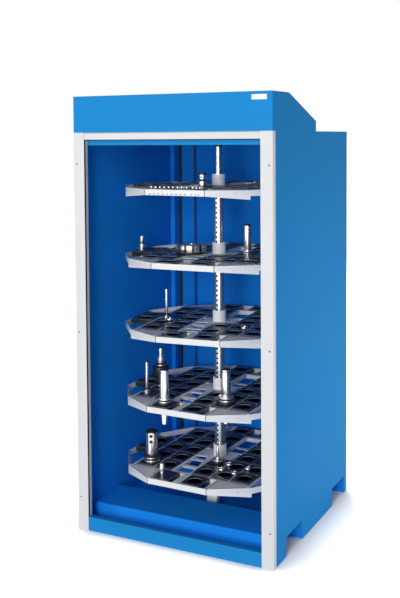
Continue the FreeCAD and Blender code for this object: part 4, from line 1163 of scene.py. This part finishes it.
class CABINET_OT_tools(bpy.types.Operator):
    """Build the tools that stand on the levels"""
    bl_idname = "cabinet.tools"
    bl_label = "Tools"

    def execute(self, context):
        rise = context.scene.cabinet_cassettes.rise
        for level in LEVELS:
            tools = [(shape, (*place, 0)) for shape, _, place in LEVEL_TOOLS[level]]
            if level == LEVELS[-1]:
                tools += [(collet_strip, (*STRIP_PLACE, 0))]
                tools += [(collet, (*place, 2)) for place in COLLET_ROW]
            bm = bmesh.new()
            for shape, (x, y, lift) in tools:
                tool = bmesh.new()
                shape(tool)
                stand = Matrix.Translation((x * MM, y * MM, rise + lift * MM))
                stamp(bm, template(tool), level_place(level) @ stand)
            body = LEVEL_NAMES[level]
            make_piece(
                body + "_tool_set", bm, body, [STEEL, BLACK_STEEL, JOINT_BLACK_AND_BORE_SHADE],
                stands_for=[body + "_tools"],
            )
        return {"FINISHED"}


# ---- studio ----
def seen_directly(tree):
    """1 for rays that come straight from the camera, from a mirror or through glass."""
    path = tree.nodes.new("ShaderNodeLightPath")
    share = path.outputs["Is Camera Ray"]
    for ray in ("Is Glossy Ray", "Is Transmission Ray"):
        share = calculate(tree, "MAXIMUM", share, path.outputs[ray])
    return share


def floor_glow_and_shadow(tree):
    """The floor's own white, with a painted contact shadow: less glow where ambient occlusion finds
    the cabinet close.
    """
    corners = tree.nodes.new("ShaderNodeAmbientOcclusion")
    corners.inputs["Distance"].default_value = 0.30
    glow = map_range(tree, corners.outputs["AO"], (0.35, 1.0), (0.0, 0.92), "SMOOTHSTEP")
    return calculate(tree, "MULTIPLY", glow, seen_directly(tree))


def studio_floor():
    bm = bmesh.new()
    bmesh.ops.create_grid(bm, x_segments=1, y_segments=1, size=40.0)
    bmesh.ops.translate(bm, vec=(0, 0, -0.2 * MM), verts=bm.verts)
    mesh = template(bm, "studio_floor")
    material = bpy.data.materials.new("studio floor")
    material.use_nodes = True
    tree = material.node_tree
    tree.nodes.remove(tree.nodes["Principled BSDF"])
    matt = tree.nodes.new("ShaderNodeBsdfDiffuse")
    matt.inputs["Color"].default_value = (0.95, 0.95, 0.95, 1.0)
    glow = tree.nodes.new("ShaderNodeEmission")
    glow.inputs["Color"].default_value = (1.0, 1.0, 1.0, 1.0)
    tree.links.new(floor_glow_and_shadow(tree), glow.inputs["Strength"])
    both = tree.nodes.new("ShaderNodeAddShader")
    tree.links.new(matt.outputs["BSDF"], both.inputs[0])
    tree.links.new(glow.outputs["Emission"], both.inputs[1])
    tree.links.new(both.outputs["Shader"], tree.nodes["Material Output"].inputs["Surface"])
    mesh.materials.append(material)
    add_object("studio_floor", mesh)


def soft_light(name, place, target, size, power):
    data = bpy.data.lights.new(name, "AREA")
    data.shape = "DISK"
    data.size = size
    data.energy = power
    lamp = add_object(name, data)
    lamp.location = place
    lamp.rotation_euler = (Vector(target) - Vector(place)).to_track_quat("-Z", "Y").to_euler()


def surroundings(strength):
    world = bpy.data.worlds.new("studio surroundings")
    world.use_nodes = True
    tree = world.node_tree
    background = tree.nodes["Background"]
    background.inputs["Color"].default_value = (1.0, 1.0, 1.0, 1.0)
    brightness = map_range(tree, seen_directly(tree), (0.0, 1.0), (strength, 1.0))
    tree.links.new(brightness, background.inputs["Strength"])
    bpy.context.scene.world = world


def studio_camera():
    data = bpy.data.cameras.new("studio camera")
    data.sensor_width = 36.0
    data.lens = 55.6552
    data.shift_y = -0.19
    camera = add_object("studio camera", data)
    camera.location = (2.03099, -4.25192, 1.91655)
    camera.rotation_euler = [math.radians(turn) for turn in (87.12147, 0.3721, 26.59059)]
    bpy.context.scene.camera = camera


class CABINET_OT_studio(bpy.types.Operator):
    """Build the floor, the lights, the surroundings and the camera"""
    bl_idname = "cabinet.studio"
    bl_label = "Studio"

    def execute(self, context):
        settings = context.scene.cabinet_studio
        studio_floor()
        soft_light("key light", (1.6, -9.5, 4.2), (0, 0, 1.05), 3.4, settings.key)
        soft_light("front light", (2.4, -8.8, 1.5), (0, 0, 1.0), 2.4, settings.front)
        soft_light("left light", (-4.5, -7.5, 1.6), (0, 0, 1.0), 2.4, settings.side)
        soft_light("back light", (-4.0, 7.5, 4.0), (0, 0, 1.0), 3.0, settings.back)
        soft_light("low light", (2.8, 0.3, 0.35), (0.5, 0.2, 0.4), 1.2, settings.fill)
        surroundings(settings.sky)
        studio_camera()
        context.scene.view_settings.view_transform = "Standard"
        return {"FINISHED"}


# ---- add-on ----
SETTINGS = {
    "cabinet_colours": CabinetColours,
    "cabinet_sheets": SheetMetalSizes,
    "cabinet_levels": LevelSizes,
    "cabinet_cassettes": CassetteSizes,
    "cabinet_shutter": ShutterSizes,
    "cabinet_studio": StudioSettings,
}

OPERATORS = (
    CABINET_OT_finishes, CABINET_OT_studio, CABINET_OT_sheet_metal, CABINET_OT_guide_rails,
    CABINET_OT_column, CABINET_OT_shutter, CABINET_OT_level_frames, CABINET_OT_cassettes,
    CABINET_OT_tools,
)


class CABINET_PT_pieces(bpy.types.Panel):
    """The cabinet's pieces and settings"""
    bl_idname = "CABINET_PT_pieces"
    bl_label = "Tool cabinet"
    bl_space_type = "VIEW_3D"
    bl_region_type = "UI"
    bl_category = "Tool cabinet"

    def draw(self, context):
        for name, group in SETTINGS.items():
            box = self.layout.box()
            settings = getattr(context.scene, name)
            for field in group.__annotations__:
                box.prop(settings, field)
        for operator in OPERATORS:
            self.layout.operator(operator.bl_idname)


CLASSES = (*SETTINGS.values(), *OPERATORS, CABINET_PT_pieces)


def register():
    for cls in CLASSES:
        bpy.utils.register_class(cls)
    for name, group in SETTINGS.items():
        setattr(bpy.types.Scene, name, PointerProperty(type=group))


def unregister():
    for name in SETTINGS:
        delattr(bpy.types.Scene, name)
    for cls in reversed(CLASSES):
        bpy.utils.unregister_class(cls)


def main():
    register()
    for operator in OPERATORS:
        group, name = operator.bl_idname.split(".")
        getattr(getattr(bpy.ops, group), name)()


if __name__ == "__main__":
    main()
